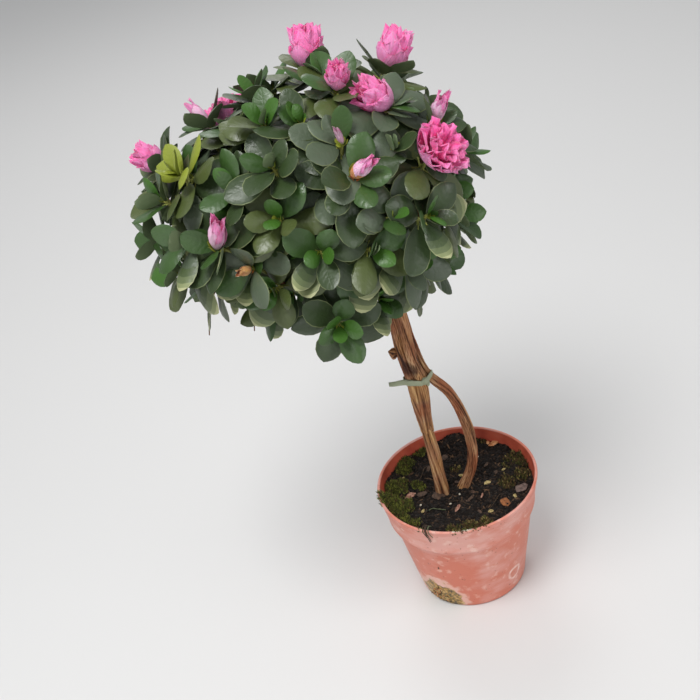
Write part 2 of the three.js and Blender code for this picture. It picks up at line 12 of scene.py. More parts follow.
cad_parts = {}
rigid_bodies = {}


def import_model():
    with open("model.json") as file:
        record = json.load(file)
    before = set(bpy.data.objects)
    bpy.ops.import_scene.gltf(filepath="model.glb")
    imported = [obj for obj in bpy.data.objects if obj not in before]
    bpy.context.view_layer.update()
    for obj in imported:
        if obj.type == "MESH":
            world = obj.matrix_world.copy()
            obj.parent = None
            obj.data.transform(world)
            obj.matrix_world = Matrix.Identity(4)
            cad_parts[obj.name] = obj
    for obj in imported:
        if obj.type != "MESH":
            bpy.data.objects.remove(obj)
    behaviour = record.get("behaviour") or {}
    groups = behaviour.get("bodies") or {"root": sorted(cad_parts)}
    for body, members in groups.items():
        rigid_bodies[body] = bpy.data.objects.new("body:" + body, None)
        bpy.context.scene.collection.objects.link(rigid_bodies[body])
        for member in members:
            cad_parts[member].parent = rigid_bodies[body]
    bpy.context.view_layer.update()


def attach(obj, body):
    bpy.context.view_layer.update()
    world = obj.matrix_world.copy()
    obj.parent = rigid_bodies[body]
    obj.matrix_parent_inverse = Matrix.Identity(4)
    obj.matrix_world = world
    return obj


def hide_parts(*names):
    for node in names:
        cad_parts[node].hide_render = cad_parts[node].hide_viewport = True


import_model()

MM = 0.001
UP = np.array([0, 0, 1.0])
GOLDEN = pi * (3 - sqrt(5))
SHARP_ANGLE = radians(75)
MASSES = [f"foliage_{number}" for number in range(1, 9)]

# Pot, whose wall leans out from the foot to the rim
POT_HEIGHT = 95
POT_RIM_RADIUS = 60
POT_FOOT_RADIUS = 41
POT_BAND_HEIGHT = 26
POT_BAND_STEP = 1.3
POT_WALL = 1.7
POT_FLOOR = 3
POT_FOOT_ROUND = 1.8
# The body draws in under the band, whose foot swells a little: how far each point stands out from the body's
# top and up from the band's foot, and the steps that lead to it
POT_STEP = [(-2.1, -9, 22), (-0.8, -1.4, 5), (-0.1, -0.8, 1), (1.4, 0.2, 1), (1.9, 0.8, 1), (2.2, 1.6, 1)]
POT_SIDES = 192

# Soil
SOIL_LEVEL = 84
SOIL_LUMP = 1.5
SOIL_BACK_MOUND = Record(x=3, y=51, height=9.5, spread=10)
STEM_CLEARING = 12
# How far the soil keeps from the pot's wall and floor
SOIL_GAP = Record(top=0.3, flank=0.6, floor=0.3)
SOIL_RINGS = 84
SOIL_SIDES = 260

# Stems, as centre-lines from just under the soil. They are the solids' own, but above the tie the two arms
# lie closer, and the feet flare less
MAIN_TRUNK = [(-11.8, -1, 78), (-13, -1, 115), (-14.3, -1, 140), (-15, -1, 158)]
LEFT_ARM = [(-14.8, -1, 144), (-17.6, -0.5, 172), (-18.8, -1, 191), (-21.6, -0.3, 215), (-23.4, -1.3, 255),
            (-31, -2, 281)]
RIGHT_ARM = [(-14, -1.4, 144), (-12.5, -3, 172), (-12.3, -3, 191), (-15.2, -4.8, 215), (-17.2, -5, 255),
             (-17, -9, 291)]
SECOND_STEM = [(1, 1, 77), (12, 1, 100), (15.5, 1.5, 120), (14, 2, 143), (6, 4, 170), (-8, 5.6, 191),
               (-14, 7, 220), (-16.5, 7, 255), (-12, 9, 285)]
KNUCKLED_STEMS = (LEFT_ARM, RIGHT_ARM, SECOND_STEM)
TRUNK_RADII = Record(foot=5.2, top=4.3, flare=1.0, flare_height=9)
ARM_RADII = Record(foot=4.2, top=3.7, flare=0, flare_height=1)
SECOND_RADII = Record(foot=4.0, top=3.4, flare=1.0, flare_height=9)
STEM_STEP = 1.3
TRUNK_STEPS = 63
TRUNK_SIDES = 72
ARM_SIDES = 56
# The swelling at a stem's tip, and the collar by which the stem widens into it
KNUCKLE_RADIUS = 6.2
KNUCKLE_COLLAR = Record(height=1.6, reach=1.7)
KNUCKLE_SHARES = (0.2, 0.4, 0.6, 0.78, 0.92, 0.99)
# The stub of a cut side shoot: where it starts and heads, its thickness, and the knob near its end
STUB = Record(start=(-21.5, 0, 213), aim=(-27, -1.5, 215.5), length=9.4, radius=1.12, knob=3.1, knob_at=6.2,
              knob_reach=2.1)
SCAR_PLACE = (-18, -5.5, 203)
BARK_WINDING = 55  # millimetres along a stem for each radian that its grain winds round

# Tie of soft tape round the strands, whose x, y and radius come after it
TIE = Record(height=191, width=6, thickness=0.7, tail=17)
TIED_STRANDS = [(-18.8, -1, 4.3), (-12.3, -3, 4.3), (-8, 5.6, 4.1)]
# The tape's section: places across it and through it, as shares of its width and thickness
TAPE_SECTION = [(-0.5, 0), (-0.42, 0.5), (-0.15, 0.62), (0.15, 0.55), (0.42, 0.5), (0.5, 0), (0.42, -0.5),
                (-0.42, -0.5)]
# The knot: its outline as radii and heights of a ball, its size, and its two lumps with how each is stretched
KNOT_OUTLINE = [(0, -1), (0.62, -0.8), (0.95, -0.35), (1, 0.1), (0.8, 0.6), (0.42, 0.92), (0, 1)]
KNOT = Record(radius=2.6, half_height=3.0)
KNOT_LUMPS = [((-9.6, -6.6, 191.2), (1, 0.7, 1)), ((-7.6, -5.2, 188.8), (0.55, 0.5, 1.15))]

# Crown: the masses' spaces part from the hub, and the shoots face away from the heart
HUB = np.array([-20, 0, 283.0])
HEART = np.array([-58, 0, 340.0])
LOBES = [
    (np.array([-37, 0, 347.0]), np.array([99, 98, 96.0])),
    (np.array([-101, -6, 346.0]), np.array([79, 80, 76.0])),
]
MASS_SPREAD = Record(high=0.96, low=-0.34, reach=0.72)
BOUGH_REACH = 0.5
BOUGH_RADII = Record(foot=2.7, tip=1.9)
BOUGH_RISE = 5
BOUGH_STEP = 1.4
BOUGH_SIDES = 24
# Each mass's own stem runs on from its bough to a fork, from which its twigs part
FORK_REACH = 9.3
FORK_RADII = [BOUGH_RADII.tip, 1.9, 1.8, 1.7]
SHOOT_COUNT = 70
SHOOT_SPREAD = Record(high=0.97, low=-0.72)
SHOOT_DEPTH = 20
SHOOT_INSET = 7
SHOOT_RISE = 0.35
CELL_MARGIN = 0.4
LIMB_MARGIN = 2.2
BLOOM_MARGIN = 1.5
TWIG_RADII = Record(foot=1.5, tip=1.0, end=0.75)
TWIG_STEPS = 12
# How far back from its tip a twig is still green, and how far out along its forebears it is thinnest
TWIG_GREEN = 14
TWIG_THINNED = 70
# Finer shoots between the main ones: how many, how deep their tips lie, and how they are spread
FINER_SHOOTS = [
    Record(count=84, depth=31, spread=13, high=0.95, low=-0.80, seed=31),
    Record(count=58, depth=54, spread=10, high=0.9, low=-0.85, seed=32),
]

# Leaves of a rosette, from the outermost and oldest to the innermost
LEAF_COUNT = Record(least=10, spare=3)
LEAF_ROOTS = Record(outer=-9, inner=0, sunk=0.5)
LEAF_LENGTH = Record(outer=36, inner=18)
LEAF_TILT = Record(outer=98, inner=22)
LEAF_HALF_WIDTH = 0.28
LEAF_SAG = 0.09
# How far up the rank leaves go round a bloom, which takes the place of the innermost ones
LEAF_RANK_ROUND_BLOOM = 0.68
LEAF_TRIES = [
    (0, 1, 0), (18, 0.97, 0), (-18, 0.97, 0), (0, 0.95, 16), (0, 0.95, -14), (34, 0.92, 8), (-34, 0.92, 8),
    (0, 0.86, 32), (56, 0.86, 12), (-56, 0.86, 12), (80, 0.8, 20), (-80, 0.8, 20), (120, 0.8, 10),
]
# Shapes of leaf: how far the blade curls under, folds along its midrib, waves at its edge, and its width
LEAF_SHAPES = [
    (26, 0.20, 0.05, 1.0), (46, 0.28, 0.04, 1.04), (12, 0.10, 0.08, 0.96), (62, 0.30, 0.05, 1.0),
    (34, -0.14, 0.06, 1.05), (20, 0.36, 0.03, 0.92),
]
LEAF_STATIONS = [0, 0.12, 0.32, 0.52, 0.7, 0.84, 0.93, 0.982, 1]
LEAF_COLUMNS = [-1, -0.94, -0.5, 0, 0.5, 0.94, 1]
LEAF_UNDER_COLUMNS = [-1, 0, 1]
# How far the rows of faces bow round the blade's tip, as a share of its length
LEAF_BOW = 0.14
# A leaf's stalk ends this share of the way along it, and its blade is this thick, as a share of its length
LEAF_FOOT = 0.09
LEAF_THICKNESS = 0.05
# Leaves whose roots are further apart can't cross
LEAVES_MEET = 62

# Shoots that have a place of their own: what they bear, degrees round from the front towards the right, and
# degrees up. A bloom has its size, how far it leans to the left and upwards, and the finish of its petals'
# foot; leaves have how far they stand out from the others
PLACED_SHOOTS = [
    ("open", 58, 22, 1, (0, 0), "foot"), ("half", 158, 64, 1, (0, 0), "foot"),
    ("half", 56, 65, 0.66, (0, 0), "foot"), ("half", 113, 45, 1, (0, 0), "foot"),
    ("half", 64, 45, 0.95, (1.3, 0), "foot"), ("bud", 73, 30, 1, (0.35, 0), "foot"),
    ("bud", 25, 31, 1, (-0.45, 0), "orange_foot"), ("bud", 28, 44, 0.7, (0.4, 0), "foot"),
    ("bud", -114, 43, 0.85, (0, 0), "foot"), ("bud", -40, 10, 1.1, (-1.1, 1.4), "foot"),
    ("half", 205, 30, 1, (0, 0), "foot"), ("bud", 178, 12, 1, (0, 0), "foot"),
    ("open", 225, 34, 0.9, (0, 0), "foot"), ("bud", 140, 18, 1, (0, 0), "foot"),
    ("half", 262, 24, 0.8, (0, 0), "foot"), ("bud", 250, -5, 1, (0, 0.5), "foot"),
    ("leaves", 4, -38, 13), ("leaves", 47, 5, 2), ("leaves", 27, 0, 0), ("leaves", -24, -17, 3),
    ("leaves", -12, 43, 4), ("leaves", -12, 21, 2), ("leaves", -19, 61, 6), ("leaves", -65, 33, 0),
    ("withered", -30, -1, 0.62, (0, 0), "foot"),
]
# The shoot whose leaves are all young and lime green
YOUNG_SHOOT = (-65, 33)
# The ball that each kind of bloom needs: its radius, and how far the bloom reaches
BLOOM_BALLS = {"bud": (6, 21), "half": (11, 20), "open": (17, 19)}
# Shoots low on the crown turn up more strongly than the source's, towards the light
LOW_SHOOT_RISE = 0.7
# Bare stalks that hang from low shoots: degrees round, degrees up, and their length
BARE_STALKS = [(-76, -26, 36), (-67, -30, 32), (-56, -36, 26), (-30, -40, 16)]

# Petals of each kind of bloom, layer by layer: count, length, width, the lean from the flower's axis at the
# foot and at the tip, how closely they hug the axis, ruffle, and how far they start above the flower's foot
PETAL_LAYERS = {
    "open": [
        (6, 25, 20, 64, 14, 1.0, 1.5, 0), (6, 24.5, 19, 52, 34, 1.1, 2.2, 0.4),
        (7, 24, 17, 39, 40, 1.1, 2.6, 0.8), (7, 23.5, 15, 27, 30, 1.1, 2.8, 1.2),
        (6, 23, 12, 15, 20, 1.1, 2.8, 1.5),
    ],
    "half": [
        (4, 19.5, 19, 58, -8, 1.0, 1.4, 0), (5, 23.5, 18, 50, -14, 1.0, 2.0, 0.5),
        (5, 26.5, 17, 40, -22, 1.05, 2.6, 0.8), (5, 28.5, 15, 25, -18, 1.1, 2.8, 1.2),
    ],
    "bud": [
        (3, 20.5, 12, 32, -36, 1.0, 0.35, 0), (3, 22, 11, 25, -24, 1.0, 0.7, 0.4),
        (3, 23.5, 9, 14, -10, 1.0, 1.0, 0.8),
    ],
}
# A small bud is still slender
SLENDER_BUD = Record(largest=0.75, width=0.62)
PETAL_STATIONS = [0, 0.18, 0.36, 0.54, 0.7, 0.83, 0.93, 1]
PETAL_COLUMNS = [-1, -0.84, -0.63, -0.42, -0.21, 0, 0.21, 0.42, 0.63, 0.84, 1]
PETAL_THICKNESS = 0.35

# Camera, and lights by place, size and power in metres and watts, which all face the middle of the plant
CAMERA_PLACE = (0, -682, 675)
CAMERA_AIM = (-56, 0, 224)
CAMERA_ROLL = 13.2
CAMERA_LENS = 61
LIGHTS = {
    "key_above": ((-0.35, -0.55, 1.6), 0.7, 19), "fill_right": ((1.3, -0.7, 0.9), 1.0, 6),
    "fill_low": ((-0.6, -1.4, 0.3), 1.2, 4.5), "rim_back": ((-0.2, 1.3, 1.2), 1.0, 6),
}
LIGHT_AIM = (-0.05, 0, 0.25)


# Maths shared by all pieces

def mix(a, b, t):
    return a + (b - a) * t


def unit(vector):
    return vector / np.linalg.norm(vector)


def metres(place):
    """A place as meshes and shaders take it."""
    return tuple(part * MM for part in place)


def dice(seed):
    """Seeded draws between 0 and 1."""
    state = ((seed + 1) * 2654435761) % 2**32

    def draw():
        nonlocal state
        state = (state * 1664525 + 1013904223) % 2**32
        return state / 2**32

    return draw


def rough(x, y, z):
    """Smooth noise between about -1 and 1."""
    return noise.noise(Vector((x, y, z)))


def evenly(points, count):
    """The same line in count equal steps."""
    points = np.asarray(points, float)
    along = np.concatenate([[0], np.cumsum(np.linalg.norm(np.diff(points, axis=0), axis=1))])
    wanted = np.linspace(0, along[-1], count + 1)
    return np.stack([np.interp(wanted, along, points[:, axis]) for axis in range(3)], axis=1)


def spline(points, count):
    """A smooth line through the points, in count equal steps."""
    points = np.array(points, float)
    padded = np.vstack([2 * points[0] - points[1], points, 2 * points[-1] - points[-2]])
    fine = [points[0]]
    for before, start, end, after in zip(padded, padded[1:], padded[2:], padded[3:]):
        first, last = (end - before) / 2, (after - start) / 2
        for t in np.linspace(0, 1, 41)[1:]:
            cubic = 2 * start - 2 * end + first + last
            square = -3 * start + 3 * end - 2 * first - last
            fine.append(start + first * t + square * t**2 + cubic * t**3)
    return evenly(fine, count)


def curve_length(points):
    return float(np.linalg.norm(np.diff(points, axis=0), axis=1).sum())


def curled_line(start, length, angle_at, steps):
    """A line in a plane as places and angles; angle_at gives its direction at each share of its length."""
    line, place = [], np.array(start, float)
    for step in range(steps + 1):
        angle = angle_at(step / steps)
        line.append((*place, angle))
        place = place + length / steps * np.array([cos(angle), sin(angle)])
    return np.array(line)


def on_line(line, share):
    """The place and angle of such a line at a share of its length."""
    return [np.interp(share, np.linspace(0, 1, len(line)), line[:, axis]) for axis in range(3)]


def carried_frames(path):
    """Two directions across the line at each of its points, carried along it without twist."""
    ahead = np.gradient(path, axis=0)
    ahead /= np.linalg.norm(ahead, axis=1)[:, None]
    side = np.cross(ahead[0], [0.0, 1.0, 0.1])
    sides, others = [], []
    for direction in ahead:
        side = unit(side - direction * (side @ direction))
        sides.append(side)
        others.append(np.cross(direction, side))
    return np.array(sides), np.array(others)


def turned(vector, axis, angle):
    """The vector turned about a unit axis."""
    cosine, sine = cos(angle), sin(angle)
    return vector * cosine + np.cross(axis, vector) * sine + axis * (axis @ vector) * (1 - cosine)


def jittered(draw):
    """Three draws, each between a half down and a half up."""
    return np.array([draw() - 0.5, draw() - 0.5, draw() - 0.5])


# Meshes

class Heap:
    """Points and faces gathered for one mesh. A face's finish is its place in the piece's materials."""

    def __init__(self):
        self.points, self.faces, self.finish, self.grain = [], [], [], []

    def add(self, points, faces, finish=0, grain=None):
        first = len(self.points)
        self.points += [tuple(point) for point in points]
        self.faces += [tuple(first + corner for corner in face) for face in faces]
        self.finish += finish if isinstance(finish, list) else [finish] * len(faces)
        self.grain += list(grain) if grain is not None else [0.5] * len(points)


def grid_faces(rows, columns, closed=False, looped=False):
    """Quads of a grid of points listed row by row.

    Closed joins the last column to the first, and looped joins the last row to the first."""
    across = columns if closed else columns - 1
    along = rows if looped else rows - 1
    return [
        (row * columns + column, row * columns + (column + 1) % columns,
         (row + 1) % rows * columns + (column + 1) % columns, (row + 1) % rows * columns + column)
        for row in range(along) for column in range(across)
    ]


def capped_faces(rings, sides):
    """Faces of rings of points, closed by the two end points that are listed after them."""
    faces = grid_faces(rings, sides, closed=True)
    foot, top, last = rings * sides, rings * sides + 1, (rings - 1) * sides
    for side in range(sides):
        after = (side + 1) % sides
        faces += [(foot, after, side), (top, last + side, last + after)]
    return faces


def store(mesh, name, kind, values, domain="POINT"):
    """Keeps a value of its own for each point or face."""
    attribute = mesh.attributes.new(name, kind, domain)
    key = "vector" if kind == "FLOAT_VECTOR" else "value"
    attribute.data.foreach_set(key, np.ravel(np.asarray(values, int if kind == "INT" else float)))


def raw_object(name, points, faces=(), edges=()):
    """An object whose mesh is given in millimetres."""
    mesh = bpy.data.meshes.new(name)
    mesh.from_pydata([metres(point) for point in points], list(edges), list(faces))
    return bpy.data.objects.new(name, mesh)


def heap_object(name, heap, materials):
    """The heap as a smooth object in the scene."""
    obj = raw_object(name, heap.points, heap.faces)
    mesh = obj.data
    store(mesh, "grain", "FLOAT", heap.grain)
    for look in materials:
        mesh.materials.append(look)
    mesh.polygons.foreach_set("material_index", np.array(heap.finish, int))
    mesh.polygons.foreach_set("use_smooth", [True] * len(mesh.polygons))
    mesh.validate()
    bpy.context.scene.collection.objects.link(obj)
    return obj


def seat(obj, slot, *replaced):
    """Ties a finished piece to the frame."""
    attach(obj, "root")
    if replaced:
        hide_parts(*replaced)
    return obj


# Nodes and materials

def linear(code):
    """An sRGB hex colour as the linear colour that shaders take."""
    parts = [int(code[place:place + 2], 16) / 255 for place in (1, 3, 5)]
    return [part / 12.92 if part <= 0.04045 else ((part + 0.055) / 1.055) ** 2.4 for part in parts] + [1]


def node(tree, kind, inputs=None, stops=None, **settings):
    """Adds a node. An input is a value or the socket that feeds it, and stops fill a colour ramp."""
    made = tree.nodes.new(kind)
    for name, value in settings.items():
        setattr(made, name, value)
    for name, value in (inputs or {}).items():
        if isinstance(value, bpy.types.NodeSocket):
            tree.links.new(value, made.inputs[name])
        else:
            made.inputs[name].default_value = value
    if stops:
        ramp = made.color_ramp
        while len(ramp.elements) < len(stops):
            ramp.elements.new(0.5)
        for element, (place, colour) in zip(ramp.elements, stops):
            element.position = place
            element.color = linear(colour) if isinstance(colour, str) else (colour, colour, colour, 1)
    return made


def material(name, **shader):
    """A material with one surface shader, followed by its tree, the shader and the places on the piece."""
    made = bpy.data.materials.new(name)
    made.use_nodes = True
    tree = made.node_tree
    tree.nodes.clear()
    names = {key.replace("_", " "): value for key, value in shader.items()}
    surface = node(tree, "ShaderNodeBsdfPrincipled", names)
    node(tree, "ShaderNodeOutputMaterial", {"Surface": surface.outputs["BSDF"]})
    return made, tree, surface, node(tree, "ShaderNodeTexCoord").outputs["Object"]


def relief(tree, surface, height, depth):
    """Bumps a surface by a height between 0 and 1; depth is in millimetres."""
    bump = node(tree, "ShaderNodeBump", {"Height": height, "Strength": 1.0, "Distance": depth * MM})
    tree.links.new(bump.outputs["Normal"], surface.inputs["Normal"])


def pot_materials():
    """Moulded polypropylene in terracotta, weathered: chalky haze outside, damp and brick red inside."""
    inside, tree, surface, place = material("polypropylene_brick_inside", Roughness=0.5)
    stain = node(tree, "ShaderNodeTexNoise", {"Vector": place, "Scale": 70.0, "Detail": 5.0})
    tint = node(tree, "ShaderNodeValToRGB", {"Fac": stain.outputs["Fac"]},
                stops=[(0.3, "#a84431"), (0.55, "#c25942"), (0.8, "#cd705b")])
    tree.links.new(tint.outputs["Color"], surface.inputs["Base Color"])
    relief(tree, surface, stain.outputs["Fac"], 0.15)

    outside_wall, tree, surface, place = material("polypropylene_terracotta_weathered")
    # a thin haze in broad soft blotches, mottled finely and drawn out sideways, strongest on the rim band
    broad = node(tree, "ShaderNodeTexNoise", {"Vector": place, "Scale": 24.0, "Detail": 2.0})
    wiped = node(tree, "ShaderNodeMapping", {"Vector": place, "Scale": (60.0, 60.0, 170.0)})
    cloud = node(tree, "ShaderNodeTexNoise", {"Vector": wiped.outputs[0], "Scale": 1.0, "Detail": 6.0,
                                              "Roughness": 0.68})
    height = node(tree, "ShaderNodeSeparateXYZ", {"Vector": place}).outputs["Z"]
    band = node(tree, "ShaderNodeMapRange", {"Value": height, "From Min": 0.03, "From Max": 0.08,
                                             "To Min": -0.07, "To Max": 0.06})
    both = node(tree, "ShaderNodeMath", {0: cloud.outputs["Fac"], 1: 0.5, 2: broad.outputs["Fac"]},
                operation="MULTIPLY_ADD")
    hazy = node(tree, "ShaderNodeMath", {0: both.outputs[0], 1: band.outputs[0]}, operation="ADD")
    veil = node(tree, "ShaderNodeValToRGB", {"Fac": hazy.outputs[0]}, stops=[(0.70, 0.05), (0.95, 0.8)])
    # fine specks of dirt
    speck = node(tree, "ShaderNodeTexNoise", {"Vector": place, "Scale": 420.0, "Detail": 2.0})
    dots = node(tree, "ShaderNodeValToRGB", {"Fac": speck.outputs["Fac"]}, stops=[(0.68, 0.0), (0.74, 0.7)])
    # a small ring that dried on: a thin shell round a point of the wall, bent and broken up by noise
    warp = node(tree, "ShaderNodeTexNoise", {"Vector": place, "Scale": 150.0, "Detail": 3.0})
    ring = POT_RING
    away = node(tree, "ShaderNodeVectorMath", {0: place, 1: metres(ring.place)}, operation="DISTANCE")
    bent = node(tree, "ShaderNodeMath", {0: warp.outputs["Fac"], 1: ring.bent * MM, 2: away.outputs["Value"]},
                operation="MULTIPLY_ADD")
    off = node(tree, "ShaderNodeMath", {0: bent.outputs[0], 1: ring.radius * MM}, operation="SUBTRACT")
    gap = node(tree, "ShaderNodeMath", {0: off.outputs[0]}, operation="ABSOLUTE")
    line = node(tree, "ShaderNodeMapRange", {"Value": gap.outputs[0], "From Min": 0.0,
                                             "From Max": ring.width * MM, "To Min": 3.6, "To Max": 0.0})
    thin = node(tree, "ShaderNodeMath", {0: cloud.outputs["Fac"], 1: 0.3}, operation="SUBTRACT")
    worn = node(tree, "ShaderNodeMath", {0: line.outputs[0], 1: thin.outputs[0]}, operation="MULTIPLY",
                use_clamp=True)
    # a crust of dirt at the foot, in the front left, and the pale edge that dried round it
    away = node(tree, "ShaderNodeVectorMath", {0: place, 1: metres(DIRT_PLACE)}, operation="DISTANCE")
    near = node(tree, "ShaderNodeMapRange", {"Value": away.outputs["Value"], "From Min": 0.008,
                                             "From Max": 0.026, "To Min": 0.5, "To Max": -0.4})
    patchy = node(tree, "ShaderNodeMath", {0: warp.outputs["Fac"], 1: near.outputs[0]}, operation="ADD")
    edge = node(tree, "ShaderNodeValToRGB", {"Fac": patchy.outputs[0]},
                stops=[(0.18, 0.0), (0.36, 0.5), (0.48, 0.5)])
    crust = node(tree, "ShaderNodeValToRGB", {"Fac": patchy.outputs[0]}, stops=[(0.47, 0.0), (0.57, 0.95)])
    crumbly = node(tree, "ShaderNodeTexNoise", {"Vector": place, "Scale": 300.0, "Detail": 4.0})
    soiled = node(tree, "ShaderNodeValToRGB", {"Fac": crumbly.outputs["Fac"]},
                  stops=[(0.38, "#3a3018"), (0.46, "#75642e"), (0.54, "#ad8234"), (0.66, "#cfb480")])
    shown = linear("#cb6e55")
    layers = [(veil.outputs["Color"], linear("#dca99f")), (dots.outputs["Color"], linear("#8f5241")),
              (worn.outputs[0], linear("#f0d9cf")), (edge.outputs["Color"], linear("#ecd2c4")),
              (crust.outputs["Color"], soiled.outputs["Color"])]
    for share, colour in layers:
        mixed = node(tree, "ShaderNodeMix", {"Factor": share, "A": shown, "B": colour}, data_type="RGBA")
        shown = mixed.outputs["Result"]
    tree.links.new(shown, surface.inputs["Base Color"])
    gloss = node(tree, "ShaderNodeMapRange", {"Value": hazy.outputs[0], "From Min": 0.65, "From Max": 1.0,
                                              "To Min": 0.4, "To Max": 0.62})
    tree.links.new(gloss.outputs[0], surface.inputs["Roughness"])
    raised = node(tree, "ShaderNodeMath", {0: crust.outputs["Color"], 1: crumbly.outputs["Fac"]},
                  operation="MULTIPLY")
    relief(tree, surface, raised.outputs[0], 0.9)
    return outside_wall, inside


def bark_material():
    """Fibrous bark: dark grooves and tan ridges that follow the carved relief, partly the bark's own tone and
    partly painted shade in the grooves and painted light on the ridges; yellowish and reddish patches, redder
    where it is young.
    """
    made, tree, surface, place = material("bark_fibrous", Roughness=0.72, Specular_IOR_Level=0.35)
    # the tone value from the stem's mesh holds painted shade in the clefts and painted light on the swells,
    # besides the bark's own tone
    grain = node(tree, "ShaderNodeAttribute", attribute_name="grain")
    fibres = node(tree, "ShaderNodeMapping", {"Vector": place, "Scale": (620.0, 620.0, 34.0)})
    fine = node(tree, "ShaderNodeTexNoise", {"Vector": fibres.outputs[0], "Scale": 1.0, "Detail": 4.0})
    total = node(tree, "ShaderNodeMath", {0: fine.outputs["Fac"], 1: 0.4, 2: grain.outputs["Fac"]},
                 operation="MULTIPLY_ADD")
    tint = node(tree, "ShaderNodeValToRGB", {"Fac": total.outputs[0]},
                stops=[(0.28, "#372012"), (0.5, "#805a40"), (0.76, "#a98262"), (1.0, "#d3b896")])
    # patches of other hue along the stems, and a dark scar between the cut side shoot and the tie
    patch = node(tree, "ShaderNodeTexNoise", {"Vector": place, "Scale": 42.0, "Detail": 2.0})
    hue = node(tree, "ShaderNodeValToRGB", {"Fac": patch.outputs["Fac"]},
               stops=[(0.36, "#e3b39c"), (0.5, "#f4e6d8"), (0.62, "#fff0cc")])
    hued = node(tree, "ShaderNodeMix", {"Factor": 1.0, "A": tint.outputs["Color"], "B": hue.outputs["Color"]},
                data_type="RGBA", blend_type="MULTIPLY")
    height = node(tree, "ShaderNodeSeparateXYZ", {"Vector": place}).outputs["Z"]
    young = node(tree, "ShaderNodeMapRange", {"Value": height, "From Min": 0.195, "From Max": 0.27,
                                              "To Min": 0.0, "To Max": 0.45})
    aged = node(tree, "ShaderNodeMix", {"Factor": young.outputs[0], "A": hued.outputs["Result"],
                                        "B": linear("#e0a88c")}, data_type="RGBA", blend_type="MULTIPLY")
    away = node(tree, "ShaderNodeVectorMath", {0: place, 1: metres(SCAR_PLACE)}, operation="DISTANCE")
    torn = node(tree, "ShaderNodeMath", {0: fine.outputs["Fac"], 1: 0.008, 2: away.outputs["Value"]},
                operation="MULTIPLY_ADD")
    scar = node(tree, "ShaderNodeMapRange", {"Value": torn.outputs[0], "From Min": 0.0085, "From Max": 0.0125,
                                             "To Min": 0.85, "To Max": 0.0})
    scarred = node(tree, "ShaderNodeMix", {"Factor": scar.outputs[0], "A": aged.outputs["Result"],
                                           "B": linear("#3a1f12")}, data_type="RGBA")
    tree.links.new(scarred.outputs["Result"], surface.inputs["Base Color"])
    relief(tree, surface, total.outputs[0], 0.45)
    return made


def peat_material():
    """Damp peat: near black and crumbly, green where moss has spread over it."""
    made, tree, surface, place = material("peat_damp", Roughness=0.93, Specular_IOR_Level=0.25)
    crumb = node(tree, "ShaderNodeTexNoise", {"Vector": place, "Scale": 500.0, "Detail": 4.0})
    tint = node(tree, "ShaderNodeValToRGB", {"Fac": crumb.outputs["Fac"]},
                stops=[(0.3, "#090605"), (0.55, "#17100c"), (0.8, "#38281b")])
    green = node(tree, "ShaderNodeValToRGB", {"Fac": crumb.outputs["Fac"]},
                 stops=[(0.3, "#1a190a"), (0.6, "#363412"), (0.8, "#504c1e")])
    moss = node(tree, "ShaderNodeAttribute", attribute_name="moss")
    shown = node(tree, "ShaderNodeMapRange", {"Value": moss.outputs["Fac"], "From Min": 0.25,
                                              "From Max": 0.6})
    mixed = node(tree, "ShaderNodeMix", {"Factor": shown.outputs[0], "A": tint.outputs["Color"],
                                         "B": green.outputs["Color"]}, data_type="RGBA")
    tree.links.new(mixed.outputs["Result"], surface.inputs["Base Color"])
    relief(tree, surface, crumb.outputs["Fac"], 0.5)
    return made


def speckled_materials(*looks):
    """Small things' materials: each colour wavers between two near tones, with a fine relief."""
    made = []
    for name, dark, light, roughness in looks:
        look, tree, surface, place = material(name, Roughness=roughness)
        waver = node(tree, "ShaderNodeTexNoise", {"Vector": place, "Scale": 600.0, "Detail": 3.0})
        tint = node(tree, "ShaderNodeValToRGB", {"Fac": waver.outputs["Fac"]},
                    stops=[(0.35, dark), (0.65, light)])
        tree.links.new(tint.outputs["Color"], surface.inputs["Base Color"])
        relief(tree, surface, waver.outputs["Fac"], 0.15)
        made.append(look)
    return made


